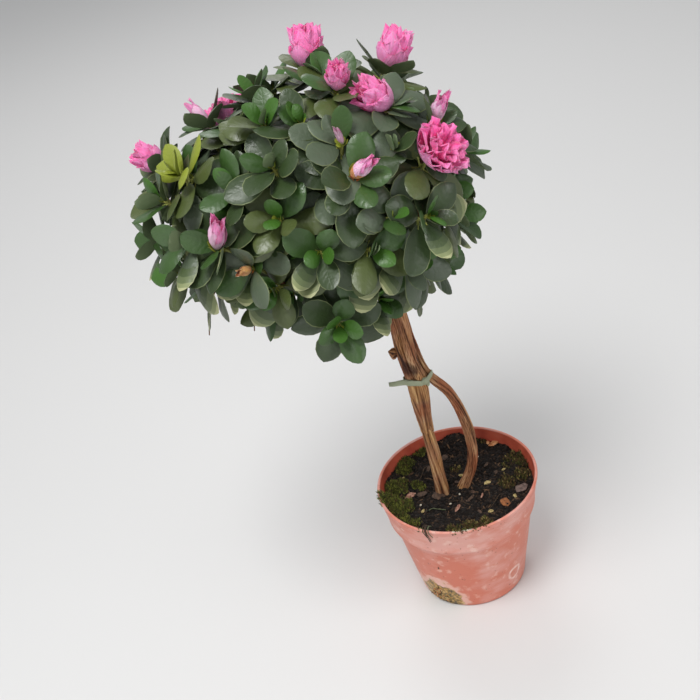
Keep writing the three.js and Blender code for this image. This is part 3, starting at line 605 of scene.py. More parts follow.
def leaf_material(name, colour, roughness, veined):
    """A leathery evergreen blade: plain green with a waxy gloss, sunken midrib and puckered side veins."""
    made, tree, surface, place = material(name, Base_Color=linear(colour), Specular_IOR_Level=0.5)
    bloom = node(tree, "ShaderNodeTexNoise", {"Vector": place, "Scale": 160.0, "Detail": 3.0})
    gloss = node(tree, "ShaderNodeMapRange", {"Value": bloom.outputs["Fac"], "From Min": 0.3, "From Max": 0.7,
                                              "To Min": roughness - 0.07, "To Max": roughness + 0.12})
    tree.links.new(gloss.outputs[0], surface.inputs["Roughness"])
    if not veined:
        return made
    blade = node(tree, "ShaderNodeUVMap", uv_map="blade")
    parts = node(tree, "ShaderNodeSeparateXYZ", {"Vector": blade.outputs["UV"]})
    off_rib = node(tree, "ShaderNodeMath", {0: parts.outputs["X"]}, operation="ABSOLUTE")
    rib = node(tree, "ShaderNodeMapRange", {"Value": off_rib.outputs[0], "From Min": 0.0, "From Max": 0.1})
    slant = node(tree, "ShaderNodeMath", {0: off_rib.outputs[0], 1: -0.24, 2: parts.outputs["Y"]},
                 operation="MULTIPLY_ADD")
    uneven = node(tree, "ShaderNodeTexNoise", {"Vector": place, "Scale": 260.0, "Detail": 2.0})
    strayed = node(tree, "ShaderNodeMath", {0: uneven.outputs["Fac"], 1: 0.16, 2: slant.outputs[0]},
                   operation="MULTIPLY_ADD")
    count = node(tree, "ShaderNodeMath", {0: strayed.outputs[0], 1: 7 * pi}, operation="MULTIPLY")
    wave = node(tree, "ShaderNodeMath", {0: count.outputs[0]}, operation="SINE")
    pucker = node(tree, "ShaderNodeMath", {0: wave.outputs[0]}, operation="ABSOLUTE")
    quilt = node(tree, "ShaderNodeMath", {0: pucker.outputs[0], 1: rib.outputs[0]}, operation="MULTIPLY")
    blisters = node(tree, "ShaderNodeTexNoise", {"Vector": place, "Scale": 420.0, "Detail": 3.0})
    total = node(tree, "ShaderNodeMath", {0: quilt.outputs[0], 1: 0.3, 2: blisters.outputs["Fac"]},
                 operation="MULTIPLY_ADD")
    relief(tree, surface, total.outputs[0], 0.2)
    return made


def petal_material(name, colour):
    """A thin double-flower petal: soft, matt and a little translucent, with fine lengthwise creases."""
    made, tree, surface, _ = material(name, Base_Color=linear(colour), Roughness=0.55, Sheen_Weight=0.15,
                                      Subsurface_Weight=0.4, Subsurface_Radius=(1.0, 0.5, 0.6),
                                      Subsurface_Scale=0.0015)
    blade = node(tree, "ShaderNodeUVMap", uv_map="blade")
    creases = node(tree, "ShaderNodeMapping", {"Vector": blade.outputs["UV"], "Scale": (9.0, 1.2, 1.0)})
    fold = node(tree, "ShaderNodeTexNoise", {"Vector": creases.outputs[0], "Scale": 1.0, "Detail": 2.0})
    relief(tree, surface, fold.outputs["Fac"], 0.9)
    return made


# Geometry Nodes

def new_tree(name, inputs):
    """A geometry tree with named inputs besides its geometry."""
    tree = bpy.data.node_groups.new(name, "GeometryNodeTree")
    tree.interface.new_socket("Geometry", in_out="INPUT", socket_type="NodeSocketGeometry")
    for label, kind in inputs:
        tree.interface.new_socket(label, in_out="INPUT", socket_type="NodeSocket" + kind)
    tree.interface.new_socket("Geometry", in_out="OUTPUT", socket_type="NodeSocketGeometry")
    return tree, node(tree, "NodeGroupInput")


def finish_tree(tree, given, geometry, finishes):
    """Ends a tree: realises its instances, then gives each face the material that its finish names."""
    last = node(tree, "GeometryNodeRealizeInstances", {"Geometry": geometry}).outputs[0]
    finish = node(tree, "GeometryNodeInputNamedAttribute", {"Name": "finish"}, data_type="INT")
    for number in range(finishes):
        picked = node(tree, "FunctionNodeCompare", {2: finish.outputs["Attribute"], 3: number},
                      data_type="INT", operation="EQUAL")
        last = node(tree, "GeometryNodeSetMaterial", {
            "Geometry": last, "Selection": picked.outputs[0], "Material": given.outputs[f"Finish {number}"],
        }).outputs[0]
    node(tree, "NodeGroupOutput", {"Geometry": last})


def grown(obj, tree, values, materials):
    """Runs a tree on the object and keeps the result as its plain mesh."""
    modifier = obj.modifiers.new(tree.name, "NODES")
    modifier.node_group = tree
    values = values | {f"Finish {number}": each for number, each in enumerate(materials)}
    for item in tree.interface.items_tree:
        if item.in_out == "INPUT" and item.name in values:
            modifier[item.identifier] = values[item.name]
    if obj.name not in bpy.context.scene.collection.objects:
        bpy.context.scene.collection.objects.link(obj)
    graph = bpy.context.evaluated_depsgraph_get()
    mesh = bpy.data.meshes.new_from_object(obj.evaluated_get(graph), preserve_all_data_layers=True,
                                           depsgraph=graph)
    obj.modifiers.clear()
    obj.data = mesh
    mesh.name = obj.name
    return obj


def finish_inputs(materials):
    return [(f"Finish {number}", "Material") for number in range(len(materials))]


class Shapes:
    """Small meshes to deal out, kept in one collection that isn't in the scene."""

    def __init__(self, name):
        self.collection = bpy.data.collections.new(name)
        self.numbers = {}

    def number(self, key, make):
        """The shape's number, made by make() the first time that its key is asked for."""
        if key not in self.numbers:
            self.numbers[key] = len(self.numbers)
            obj = make()
            obj.name = f"{self.collection.name}_{self.numbers[key]:04d}"
            self.collection.objects.link(obj)
        return self.numbers[key]

    def clear(self):
        for obj in list(self.collection.objects):
            bpy.data.objects.remove(obj)
        bpy.data.collections.remove(self.collection)


def shape_object(points, faces, finishes, blade=None, smooth=True):
    """One shape to deal out, in its own millimetres, closed by merging the points that fall together."""
    points = np.asarray(points, float)
    keys, first, index = {}, [], []
    for number, point in enumerate(np.round(points, 5)):
        key = tuple(point)
        if key not in keys:
            keys[key] = len(first)
            first.append(number)
        index.append(keys[key])
    merged, kept, corners = [], [], []
    for face, finish in zip(faces, finishes):
        ring = [corner for place, corner in enumerate(face) if index[corner] != index[face[place - 1]]]
        if len({index[corner] for corner in ring}) > 2:
            merged.append([index[corner] for corner in ring])
            kept.append(finish)
            corners += ring
    obj = raw_object("shape", points[first], merged)
    mesh = obj.data
    store(mesh, "finish", "INT", kept, "FACE")
    mesh.polygons.foreach_set("use_smooth", [smooth] * len(mesh.polygons))
    if smooth:
        # a thin blade's two sides meet at its rim without being shaded as one round surface
        mesh.set_sharp_from_angle(angle=SHARP_ANGLE)
    if blade is not None:
        layer = mesh.uv_layers.new(name="blade")
        layer.data.foreach_set("uv", np.ravel([blade[corner] for corner in corners]))
    return obj


class Dealt:
    """Places to deal shapes out to: where, how turned, how large, and which shape."""

    def __init__(self):
        self.places, self.turns, self.sizes, self.shapes = [], [], [], []

    def add(self, place, across, along, above, size, shape):
        columns = Matrix(np.array([across, along, above], float).T.tolist())
        self.places.append(place)
        self.turns.append(tuple(columns.to_quaternion()))
        self.sizes.append((size, size, size) if np.isscalar(size) else size)
        self.shapes.append(shape)


def deal_out(name, dealt, shapes, materials):
    """Deals the shapes out to their places as one mesh."""
    obj = raw_object(name, dealt.places)
    store(obj.data, "turn", "QUATERNION", dealt.turns)
    store(obj.data, "size", "FLOAT_VECTOR", dealt.sizes)
    store(obj.data, "shape", "INT", dealt.shapes)
    inputs = [("Shapes", "Collection"), ("Size", "Float")]
    tree, given = new_tree("deal_out_" + name, inputs + finish_inputs(materials))
    kinds = node(tree, "GeometryNodeCollectionInfo", {"Collection": given.outputs["Shapes"],
                                                      "Separate Children": True, "Reset Children": True})
    turn = node(tree, "GeometryNodeInputNamedAttribute", {"Name": "turn"}, data_type="QUATERNION")
    size = node(tree, "GeometryNodeInputNamedAttribute", {"Name": "size"}, data_type="FLOAT_VECTOR")
    scaled = node(tree, "ShaderNodeVectorMath", {
        0: size.outputs["Attribute"], "Scale": given.outputs["Size"]}, operation="SCALE")
    which = node(tree, "GeometryNodeInputNamedAttribute", {"Name": "shape"}, data_type="INT")
    placed = node(tree, "GeometryNodeInstanceOnPoints", {
        "Points": given.outputs["Geometry"], "Instance": kinds.outputs[0], "Pick Instance": True,
        "Instance Index": which.outputs["Attribute"], "Rotation": turn.outputs["Attribute"],
        "Scale": scaled.outputs[0],
    })
    finish_tree(tree, given, placed.outputs[0], len(materials))
    return grown(obj, tree, {"Shapes": shapes.collection, "Size": 1.0}, materials)


def scatter(name, surface, weight, density, seed, sizes, upright, shapes, materials):
    """Strews shapes over a surface where its weight is high, at a density per square millimetre."""
    obj = bpy.data.objects.new(name, surface.data.copy())
    tree, given = new_tree("scatter_" + name, [
        ("Shapes", "Collection"), ("Density", "Float"), ("Least Size", "Float"), ("Greatest Size", "Float"),
    ] + finish_inputs(materials))
    share = node(tree, "GeometryNodeInputNamedAttribute", {"Name": weight}, data_type="FLOAT")
    thick = node(tree, "ShaderNodeMath", {0: share.outputs["Attribute"], 1: given.outputs["Density"]},
                 operation="MULTIPLY")
    spots = node(tree, "GeometryNodeDistributePointsOnFaces", {
        "Mesh": given.outputs["Geometry"], "Density": thick.outputs[0], "Seed": seed})
    lifted = node(tree, "ShaderNodeMix", {"Factor": upright, "A": spots.outputs["Normal"], "B": (0, 0, 1)},
                  data_type="VECTOR")
    spin = node(tree, "FunctionNodeRandomValue", {"Min": (0, 0, -pi), "Max": (0, 0, pi),
                                                  "Seed": seed + 1}, data_type="FLOAT_VECTOR")
    spun = node(tree, "FunctionNodeEulerToRotation", {"Euler": spin.outputs[0]})
    stood = node(tree, "FunctionNodeAlignRotationToVector",
                 {"Rotation": spun.outputs[0], "Vector": lifted.outputs[1]}, axis="Z")
    kinds = node(tree, "GeometryNodeCollectionInfo", {"Collection": given.outputs["Shapes"],
                                                      "Separate Children": True, "Reset Children": True})
    large = node(tree, "FunctionNodeRandomValue", {
        2: given.outputs["Least Size"], 3: given.outputs["Greatest Size"], "Seed": seed + 2,
    }, data_type="FLOAT")
    which = node(tree, "FunctionNodeRandomValue", {4: 0, 5: len(shapes.numbers) - 1, "Seed": seed + 3},
                 data_type="INT")
    placed = node(tree, "GeometryNodeInstanceOnPoints", {
        "Points": spots.outputs["Points"], "Instance": kinds.outputs[0], "Pick Instance": True,
        "Instance Index": which.outputs[2], "Rotation": stood.outputs[0], "Scale": large.outputs[1],
    })
    finish_tree(tree, given, placed.outputs[0], len(materials))
    values = {"Shapes": shapes.collection, "Density": density / MM**2, "Least Size": sizes[0],
              "Greatest Size": sizes[1]}
    return grown(obj, tree, values, materials)


def strands(name, lines, sides, materials):
    """Round twigs or fibres along lines; each line is its points, its radii and the finish of each point."""
    points, edges, radii, finishes = [], [], [], []
    for path, thickness, finish in lines:
        first = len(points)
        points += list(path)
        radii += [radius * MM for radius in thickness]
        finishes += list(finish)
        edges += [(first + step, first + step + 1) for step in range(len(path) - 1)]
    obj = raw_object(name, points, edges=edges)
    store(obj.data, "thickness", "FLOAT", radii)
    store(obj.data, "finish", "INT", finishes)
    tree, given = new_tree("strands_" + name, [("Sides", "Int")] + finish_inputs(materials))
    curve = node(tree, "GeometryNodeMeshToCurve", {"Mesh": given.outputs["Geometry"]})
    thickness = node(tree, "GeometryNodeInputNamedAttribute", {"Name": "thickness"}, data_type="FLOAT")
    ring = node(tree, "GeometryNodeCurvePrimitiveCircle", {
        "Resolution": given.outputs["Sides"], "Radius": 1.0})
    body = node(tree, "GeometryNodeCurveToMesh", {"Curve": curve.outputs[0], "Profile Curve": ring.outputs[0],
                                                  "Scale": thickness.outputs["Attribute"], "Fill Caps": True})
    smooth = node(tree, "GeometryNodeSetShadeSmooth", {"Geometry": body.outputs[0]})
    finish_tree(tree, given, smooth.outputs[0], len(materials))
    return grown(obj, tree, {"Sides": sides}, materials)


# Pot

# A ring that dried on the wall, how far it is bent out of round, and its width
POT_RING = Record(place=(30.5, -33.3, 20), radius=7.2, bent=2.6, width=1.7)
DIRT_PLACE = (-28.5, -32.5, 8)
# Crumbs that cling to the wall's dirt: how many, degrees either side of its place, and heights
DIRT_CRUMBS = Record(count=90, turn=17, low=2, high=21)


def wall_radius(height):
    """The inner face of the pot's wall."""
    share = (height - POT_FLOOR) / (POT_HEIGHT - POT_FLOOR)
    return mix(POT_FOOT_RADIUS - POT_WALL, POT_RIM_RADIUS - POT_WALL, share)


def lathe(profile, sides, push):
    """A closed body turned about the upright axis, its profile running from axis to axis.

    Push moves its wall outwards, by an angle and a height."""
    points = []
    for radius, height in profile[1:-1]:
        for side in range(sides):
            angle = 2 * pi * side / sides
            out = radius + push(angle, height)
            points.append((out * cos(angle), out * sin(angle), height))
    points += [(0, 0, profile[0][1]), (0, 0, profile[-1][1])]
    return points, capped_faces(len(profile) - 2, sides)


def arc(centre, radius, start, end, steps):
    """Points on a round corner of a profile; angles in degrees from the +r direction."""
    turns = [radians(mix(start, end, step / steps)) for step in range(steps + 1)]
    return [(centre[0] + radius * cos(turn), centre[1] + radius * sin(turn)) for turn in turns]


def climb_to(profile, end, steps):
    """Carries a profile on to a point in even steps."""
    start = profile[-1]
    for share in np.linspace(0, 1, steps + 1)[1:]:
        profile.append((mix(start[0], end[0], share), mix(start[1], end[1], share)))


def build_pot():
    band_foot = POT_HEIGHT - POT_BAND_HEIGHT
    body_top = mix(POT_FOOT_RADIUS, POT_RIM_RADIUS - POT_BAND_STEP, band_foot / POT_HEIGHT)
    profile = [(0, 0), *arc((POT_FOOT_RADIUS - POT_FOOT_ROUND, POT_FOOT_ROUND), POT_FOOT_ROUND, -90, -10, 5)]
    for out, up, steps in POT_STEP:
        climb_to(profile, (body_top + out, band_foot + up), steps)
    band_even = (mix(body_top + POT_BAND_STEP, POT_RIM_RADIUS, 0.3), mix(band_foot, POT_HEIGHT, 0.3))
    climb_to(profile, band_even, 5)
    lip_radius = POT_WALL / 2 + 0.25
    lip_centre = (POT_RIM_RADIUS - lip_radius + 0.2, POT_HEIGHT - lip_radius)
    lip = arc(lip_centre, lip_radius, -50, 190, 12)
    climb_to(profile, (lip[0][0] - 0.35, lip[0][1] - 1.6), 8)
    profile += lip
    outer_rings = len(profile) - 3
    climb_to(profile, (POT_FOOT_RADIUS - POT_WALL, POT_FLOOR), 24)
    profile.append((0, POT_FLOOR))

    def dent(angle, height):
        ripple = 0.35 * rough(1.3 * cos(angle), 1.3 * sin(angle), height / 34)
        return ripple * min(1, height / 12)

    points, faces = lathe(profile, POT_SIDES, dent)
    heap = Heap()
    # faces run ring by ring from the foot up the outside, over the lip and down the inside
    finish = [0 if number < outer_rings * POT_SIDES else 1 for number in range(len(faces))]
    heap.add(points, faces, finish)
    seat(heap_object("pot_shell", heap, pot_materials()), "pot_plastic", "pot")


# Soil

# Cushions of moss: x, y, spread and how far they rise
MOSS_PATCHES = [
    (-47, 10, 10, 4), (-45, -12, 10, 5), (-38, 34, 8, 2), (-54, -9, 8, 11), (-37, -32, 5, 2),
    (-47, -26, 7, 4), (47, 20, 11, 3), (36, -4, 7, 1.5), (49, 1, 7, 3), (3, -48, 8, 6), (14, -47, 6, 6),
    (-8, -47, 5, 5), (1.5, 21, 5, 1), (-25, 49, 6, 2), (26, 50, 5, 2), (-30, 8, 6, 1),
]
# Right of this x the moss is thin and browned
BROWNED_MOSS_FROM = -12


def moss_share(x, y):
    """How thickly moss grows at a place, from 0 to 1, and how far it raises the ground."""
    ragged = 0.8 + 0.7 * rough(x / 5, y / 5, 3.3) + 0.4 * rough(x / 2, y / 2, 6.1)
    share, rise = 0, 0
    for centre_x, centre_y, wide, high in MOSS_PATCHES:
        near = exp(-(((x - centre_x) ** 2 + (y - centre_y) ** 2) / wide**2)) * ragged
        share = max(share, near)
        rise = max(rise, high * near)
    return min(1, share), rise


def soil_height(x, y):
    """The ground of the source, made rough, with its mound nearer the rim."""
    clear = min(hypot(foot[0] - x, foot[1] - y) for foot in (MAIN_TRUNK[0], SECOND_STEM[0]))
    lumps = SOIL_LUMP * sin(x / 6.1 + 1.3) * sin(y / 5.3 + 0.4)
    mound = SOIL_BACK_MOUND
    away = hypot(x - mound.x, y - mound.y) / mound.spread
    fade = min(1, max(0, (clear - STEM_CLEARING) / 6))
    level = SOIL_LEVEL + fade * lumps + mound.height * exp(-away * away)
    coarse = 1.5 * rough(x / 7, y / 7, 1.7) + 1.1 * abs(rough(x / 3.2, y / 3.2, 5.1))
    fine = 0.55 * rough(x / 1.5, y / 1.5, 8.2)
    return level + coarse + fine


def build_soil():
    """The ground, with shares at each point of where moss, loose crumbs and both kinds of sprig lie."""
    heap = Heap()
    moss, loose, sprigs, browned = [], [], [], []
    edge = wall_radius(SOIL_LEVEL)
    for ring in range(SOIL_RINGS, 0, -1):
        share = ring / SOIL_RINGS
        for side in range(SOIL_SIDES):
            angle = 2 * pi * side / SOIL_SIDES
            radius = share * (edge - SOIL_GAP.top)
            x, y = radius * cos(angle), radius * sin(angle)
            green, rise = moss_share(x, y)
            z = soil_height(x, y) + rise
            widen = 1 + (wall_radius(z) - edge) / edge * share**6
            heap.points.append((x * widen, y * widen, z))
            moss.append(green)
            loose.append(max(0, 1 - 1.6 * green))
            brown = x > BROWNED_MOSS_FROM
            sprigs.append(1 if green > 0.3 and not brown else 0)
            browned.append(min(1, 1.2 * green) if green > 0.3 and brown else 0)
    top = grid_faces(SOIL_RINGS, SOIL_SIDES, closed=True)
    centre = len(heap.points)
    heap.points.append((0, 0, soil_height(0, 0)))
    innermost = (SOIL_RINGS - 1) * SOIL_SIDES
    cap = [(innermost + side, innermost + (side + 1) % SOIL_SIDES, centre) for side in range(SOIL_SIDES)]
    below = len(heap.points)
    floor = POT_FLOOR + SOIL_GAP.floor
    for height in (SOIL_LEVEL - 8, floor):
        for side in range(SOIL_SIDES):
            angle = 2 * pi * side / SOIL_SIDES
            radius = wall_radius(height) - SOIL_GAP.flank
            heap.points.append((radius * cos(angle), radius * sin(angle), height))
    under = len(heap.points)
    heap.points.append((0, 0, floor))
    flank = []
    for side in range(SOIL_SIDES):
        after = (side + 1) % SOIL_SIDES
        flank.append((side, below + side, below + after, after))
        flank.append((below + side, below + SOIL_SIDES + side, below + SOIL_SIDES + after, below + after))
        flank.append((below + SOIL_SIDES + after, below + SOIL_SIDES + side, under))
    heap.faces = top + cap + flank
    heap.finish = [0] * len(heap.faces)
    heap.grain = [0.5] * len(heap.points)
    extra = len(heap.points) - len(moss)
    soil = heap_object("peat_ground", heap, [peat_material()])
    for name, values in (("moss", moss), ("loose", loose), ("sprigs", sprigs), ("browned", browned)):
        store(soil.data, name, "FLOAT", values + [0] * extra)
    return seat(soil, "peat", "soil")


def lump(seed, stretch, finish):
    """A crumb of 20 faces about a millimetre across."""
    golden = (1 + sqrt(5)) / 2
    corners = [unit(np.array(corner, float)) for corner in (
        (-1, golden, 0), (1, golden, 0), (-1, -golden, 0), (1, -golden, 0), (0, -1, golden), (0, 1, golden),
        (0, -1, -golden), (0, 1, -golden), (golden, 0, -1), (golden, 0, 1), (-golden, 0, -1),
        (-golden, 0, 1))]
    faces = [(0, 11, 5), (0, 5, 1), (0, 1, 7), (0, 7, 10), (0, 10, 11), (1, 5, 9), (5, 11, 4), (11, 10, 2),
             (10, 7, 6), (7, 1, 8), (3, 9, 4), (3, 4, 2), (3, 2, 6), (3, 6, 8), (3, 8, 9), (4, 9, 5),
             (2, 4, 11), (6, 2, 10), (8, 6, 7), (9, 8, 1)]
    draw = dice(seed)
    points = [corner * (0.4 + 0.3 * draw()) * np.array(stretch) for corner in corners]
    return shape_object(points, faces, [finish] * len(faces), smooth=False)


def sprig(seed, finish):
    """A sprig of moss: nine pointed leaflets round an upright stalk about 2 mm tall."""
    draw = dice(seed)
    points, faces = [], []
    for number in range(9):
        turn = number * GOLDEN + draw()
        low = 1.7 * number / 9
        reach, rise = 1.1 - 0.06 * number, 0.35 + 0.12 * number
        out = np.array([cos(turn), sin(turn), 0])
        side = np.array([-out[1], out[0], 0])
        base = UP * low
        first = len(points)
        points += [base + side * 0.28, base - side * 0.28, base + UP * 0.3, base + out * reach + UP * rise]
        faces += [tuple(first + corner for corner in face)
                  for face in ((0, 1, 3), (1, 2, 3), (2, 0, 3), (0, 2, 1))]
    return shape_object(points, faces, [finish] * len(faces), smooth=False)


def flake(seed, finish):
    """A chip of bark or husk of 18 faces, a millimetre long."""
    draw = dice(seed)
    ring = [(0.5 * cos(turn) * (0.75 + 0.4 * draw()), 0.32 * sin(turn) * (0.75 + 0.4 * draw()),
             0.1 * (draw() - 0.5)) for turn in np.linspace(0, 2 * pi, 10)[:-1]]
    points = ring + [(0, 0, 0.12), (0, 0, -0.12)]
    faces = [(number, (number + 1) % 9, 9) for number in range(9)]
    faces += [((number + 1) % 9, number, 10) for number in range(9)]
    return shape_object(points, faces, [finish] * len(faces))


# Chips on the ground: x, y, turn in degrees, length, width and finish
CHIPS = [
    (45.9, -13.2, 60, 13, 10, "stone"), (32, -26.5, 110, 9, 8, "rust"), (-15.1, -5.9, 20, 12, 9, "bark"),
    (-36.3, -1, 15, 10, 5, "pink"), (-28, -1, 160, 9, 7, "bark"), (22, -2.1, 25, 7, 4, "husk"),
    (-3.3, -25, 65, 9, 4, "pink"), (18.8, 31.1, 0, 2.8, 2, "white"), (34, 43, 20, 11, 6, "leaf"),
    (29, 45, 100, 6, 4, "leaf"), (0, -9, 90, 2.2, 1.6, "white"), (-8, -17, 20, 2, 1.5, "white"),
    (10, -9, 120, 5, 3, "bark"), (8, -14, 40, 7, 3, "bark"), (-29, -20, 60, 4, 2.5, "husk"),
    (-30, -13, 60, 2, 1.5, "white"), (5, -18, 15, 4, 2, "bark"), (16, -16, 70, 6, 2, "pink"),
    (24, 18, 60, 6, 3, "bark"), (30, 8, 80, 5, 3, "bark"), (-20, 24, 75, 6, 4, "bark"),
    (4, 12, 0, 5, 3, "husk"), (0, 6, 140, 6, 3, "bark"), (40, -22, 110, 5, 3, "husk"),
    (36, 10, 30, 4, 2, "husk"), (-6, 36, 30, 7, 5, "bark"), (12, -31, 120, 5, 3, "bark"),
    (-40, 20, 100, 4, 3, "husk"), (20, -34, 10, 5, 3, "husk"),
]
CHIP_TONES = {
    "stone": ("#4d3d38", "#7c665d"), "bark": ("#33251c", "#5c4434"), "rust": ("#6e3c1e", "#9a6032"),
    "pink": ("#805040", "#b58a76"), "husk": ("#85733f", "#c3ad78"), "white": ("#bdb29c", "#e4dccb"),
    "leaf": ("#b46a3c", "#dfa573"),
}
# Moss, green at the left and browned at the right: how thickly it stands, its sizes, how far it stands up
# rather than out, the first seed and the finishes of its sprigs, and its tufts on the lip by degrees round,
# count and width, with their least size and what is added by chance
MOSSES = [
    Record(name="moss_sprigs", weight="sprigs", density=1.1, seed=21, sizes=(0.5, 1.15), upright=0.4,
           first=0, finishes=(0, 1, 0, 2, 0, 0, 1, 0), on_lip="moss_on_lip",
           tufts=[(-81, 40, 15), (-33, 7, 6)], tuft_size=(0.6, 0.6)),
    Record(name="moss_browned", weight="browned", density=0.85, seed=23, sizes=(0.45, 1.1), upright=0.3,
           first=20, finishes=(2, 0, 2, 3, 2, 2, 2, 0), on_lip="moss_browned_on_lip",
           tufts=[(3, 60, 26)], tuft_size=(0.5, 0.7)),
]
# Fibres that arch over the ground: start, end, rise, radius and finish, and those over the lip: degrees
# round, how far they hang, and finish
ARCHED_FIBRES = [
    ((-27.6, -19.9), (-11.7, -21.7), 1.8, 0.35, 0), ((-8, -14), (6, -22), 1.6, 0.3, 1),
    ((18, -30), (34, -14), 2.0, 0.3, 1), ((-30, 14), (-18, 30), 1.8, 0.35, 1),
]
HANGING_FIBRES = [(-32, 8, 1), (-31.2, 7, 1), (-29.5, 3, 0), (-33.5, 4, 1)]


def ground_height(x, y):
    return soil_height(x, y) + moss_share(x, y)[1]


def build_litter(soil):
    """Crumbs of peat, sprigs of moss, chips, and a few fibres on the ground and over the lip."""
    crumbs = Shapes("crumb")
    for seed in range(14):
        stretch = (2.2, 0.6, 0.5) if seed % 6 == 5 else (1, 1, 0.8)
        crumbs.number(seed, lambda: lump(seed, stretch, 2 if seed == 11 else int(seed % 4 == 1)))
    crumb_looks = speckled_materials(
        ("peat_crumb_dark", "#0d0a08", "#201712", 0.95), ("peat_crumb_brown", "#20160f", "#3b291c", 0.95),
        ("peat_fibre", "#3d2b1d", "#6a4e35", 0.9))
    seat(scatter("peat_crumbs", soil, "loose", 0.3, 11, (0.7, 2.6), 0, crumbs, crumb_looks), "peat")
    crumbs.clear()

    draw = dice(41)
    moss_looks = speckled_materials(
        ("moss_green", "#363a0f", "#5b5f1e", 0.8), ("moss_bright", "#5f651e", "#8c8f3c", 0.8),
        ("moss_brown", "#3b2a16", "#6d5330", 0.85), ("moss_straw", "#80703c", "#ab9b60", 0.85))
    for moss in MOSSES:
        sprigs = Shapes("sprig")
        for seed, finish in enumerate(moss.finishes):
            sprigs.number(seed, lambda: sprig(moss.first + seed, finish))
        seat(scatter(moss.name, soil, moss.weight, moss.density, moss.seed, moss.sizes, moss.upright, sprigs,
                     moss_looks), "peat")
        tufts = Dealt()
        least, spare = moss.tuft_size
        for azimuth, count, wide in moss.tufts:
            for _ in range(count):
                lay_on_lip(tufts, azimuth + wide * (draw() - 0.5), least + spare * draw(),
                           int(8 * draw()), draw)
        seat(deal_out(moss.on_lip, tufts, sprigs, moss_looks), "peat")
        sprigs.clear()

    tones = list(CHIP_TONES)
    flakes = Shapes("flake")
    chips = Dealt()

    def lay_flake(place, along, above, size, tone):
        along = unit(along - above * (along @ above))
        key = (tones.index(tone), int(4 * draw()))
        number = flakes.number(key, lambda: flake(key[1], key[0]))
        chips.add(place, along, np.cross(above, along), above, size, number)

    for x, y, turn, length, width, tone in CHIPS:
        angle = radians(turn)
        along = np.array([cos(angle), sin(angle), 0])
        above = unit(UP + 0.5 * np.array([draw() - 0.5, draw() - 0.5, 0]))
        lay_flake((x, y, ground_height(x, y) + 1.1), along, above, (length, 1.5 * width, 9), tone)
    # pale flakes on the lip in front, and crumbs on the dirt at the pot's foot
    for azimuth in (-9, -6, -3.5, -2, 0.5, 3):
        out = bearing(azimuth, 0)
        lay_flake(out * (POT_RIM_RADIUS - 0.8) + UP * POT_HEIGHT, np.cross(UP, out), UP,
                  (2 + 2 * draw(), 2.2, 4), "white")
    middle = degrees(atan2(DIRT_PLACE[0], -DIRT_PLACE[1]))
    for _ in range(DIRT_CRUMBS.count):
        spread_by = draw() + draw() - 1
        height = mix(DIRT_CRUMBS.low, DIRT_CRUMBS.high, draw() * (1 - abs(spread_by)))
        out = bearing(middle + DIRT_CRUMBS.turn * spread_by, 0)
        radius = mix(POT_FOOT_RADIUS, POT_RIM_RADIUS, height / POT_HEIGHT) + 0.1
        size = 0.9 + 1.5 * draw()
        lay_flake(out * radius + UP * height, UP + np.cross(UP, out) * draw(), out, (size, size, 5),
                  ("husk", "bark", "rust", "husk", "leaf")[int(5 * draw())])
    out = bearing(-30, 0)
    lay_flake(out * 50.9 + UP * 48.6, UP, out, (2, 2, 3), "bark")
    chip_looks = speckled_materials(
        *[("chip_" + tone, *colours, 0.8) for tone, colours in CHIP_TONES.items()])
    seat(deal_out("ground_chips", chips, flakes, chip_looks), "peat")
    flakes.clear()

    fibre_looks = speckled_materials(
        ("fibre_green", "#3f4530", "#626a4a", 0.8), ("fibre_root", "#2b2016", "#4d3a26", 0.85))
    fibres = [(arch(start, end, rise, 8), [radius] * 9, [finish] * 9)
              for start, end, rise, radius, finish in ARCHED_FIBRES]
    fibres += [over_lip(*fibre) for fibre in HANGING_FIBRES]
    seat(strands("ground_fibres", fibres, 5, fibre_looks), "peat")


def lay_on_lip(dealt, azimuth, size, shape, draw):
    """Adds a sprig of moss on or just over the pot's lip."""
    out = bearing(azimuth, 0)
    radius = POT_RIM_RADIUS - 2.6 + 2.9 * draw()
    height = POT_HEIGHT - 0.4 - 1.8 * max(0, radius - POT_RIM_RADIUS + 0.6)
    lean = unit(out * (1.2 * draw() - 0.2) + UP * (0.5 + 0.5 * draw()) + np.cross(UP, out) * (draw() - 0.5))
    across = unit(np.cross(lean, UP + 0.01))
    dealt.add(out * radius + UP * height, across, np.cross(lean, across), lean, size, shape)


def arch(start, end, height, steps):
    """A fibre that lies on the ground at its ends and arches between them."""
    points = []
    for step in range(steps + 1):
        t = step / steps
        x, y = mix(start[0], end[0], t), mix(start[1], end[1], t)
        level = ground_height(x, y) + 0.4 + height * sin(pi * t)
        points.append((x + sin(6 * t), y + sin(4 * t), level))
    return points


def over_lip(azimuth, fall, finish):
    """A root or shoot that crosses the lip and hangs down the wall outside."""
    turn = radians(azimuth)
    route = [(50, 90), (55, 95), (59, 96.4), (61.3, 94.5), (61.1, 94 - fall / 2), (60.6, 93 - fall)]
    points = [(radius * sin(turn + 0.02 * step), -radius * cos(turn + 0.02 * step), height)
              for step, (radius, height) in enumerate(route)]
    line = evenly(points, 10)
    return line, [mix(0.55, 0.25, step / 10) for step in range(11)], [finish] * 11


# Stems

def stem_radii(path, radii):
    length = curve_length(path)
    return [mix(radii.foot, radii.top, t) + radii.flare * exp(-t * length / radii.flare_height)
            for t in np.linspace(0, 1, len(path))]


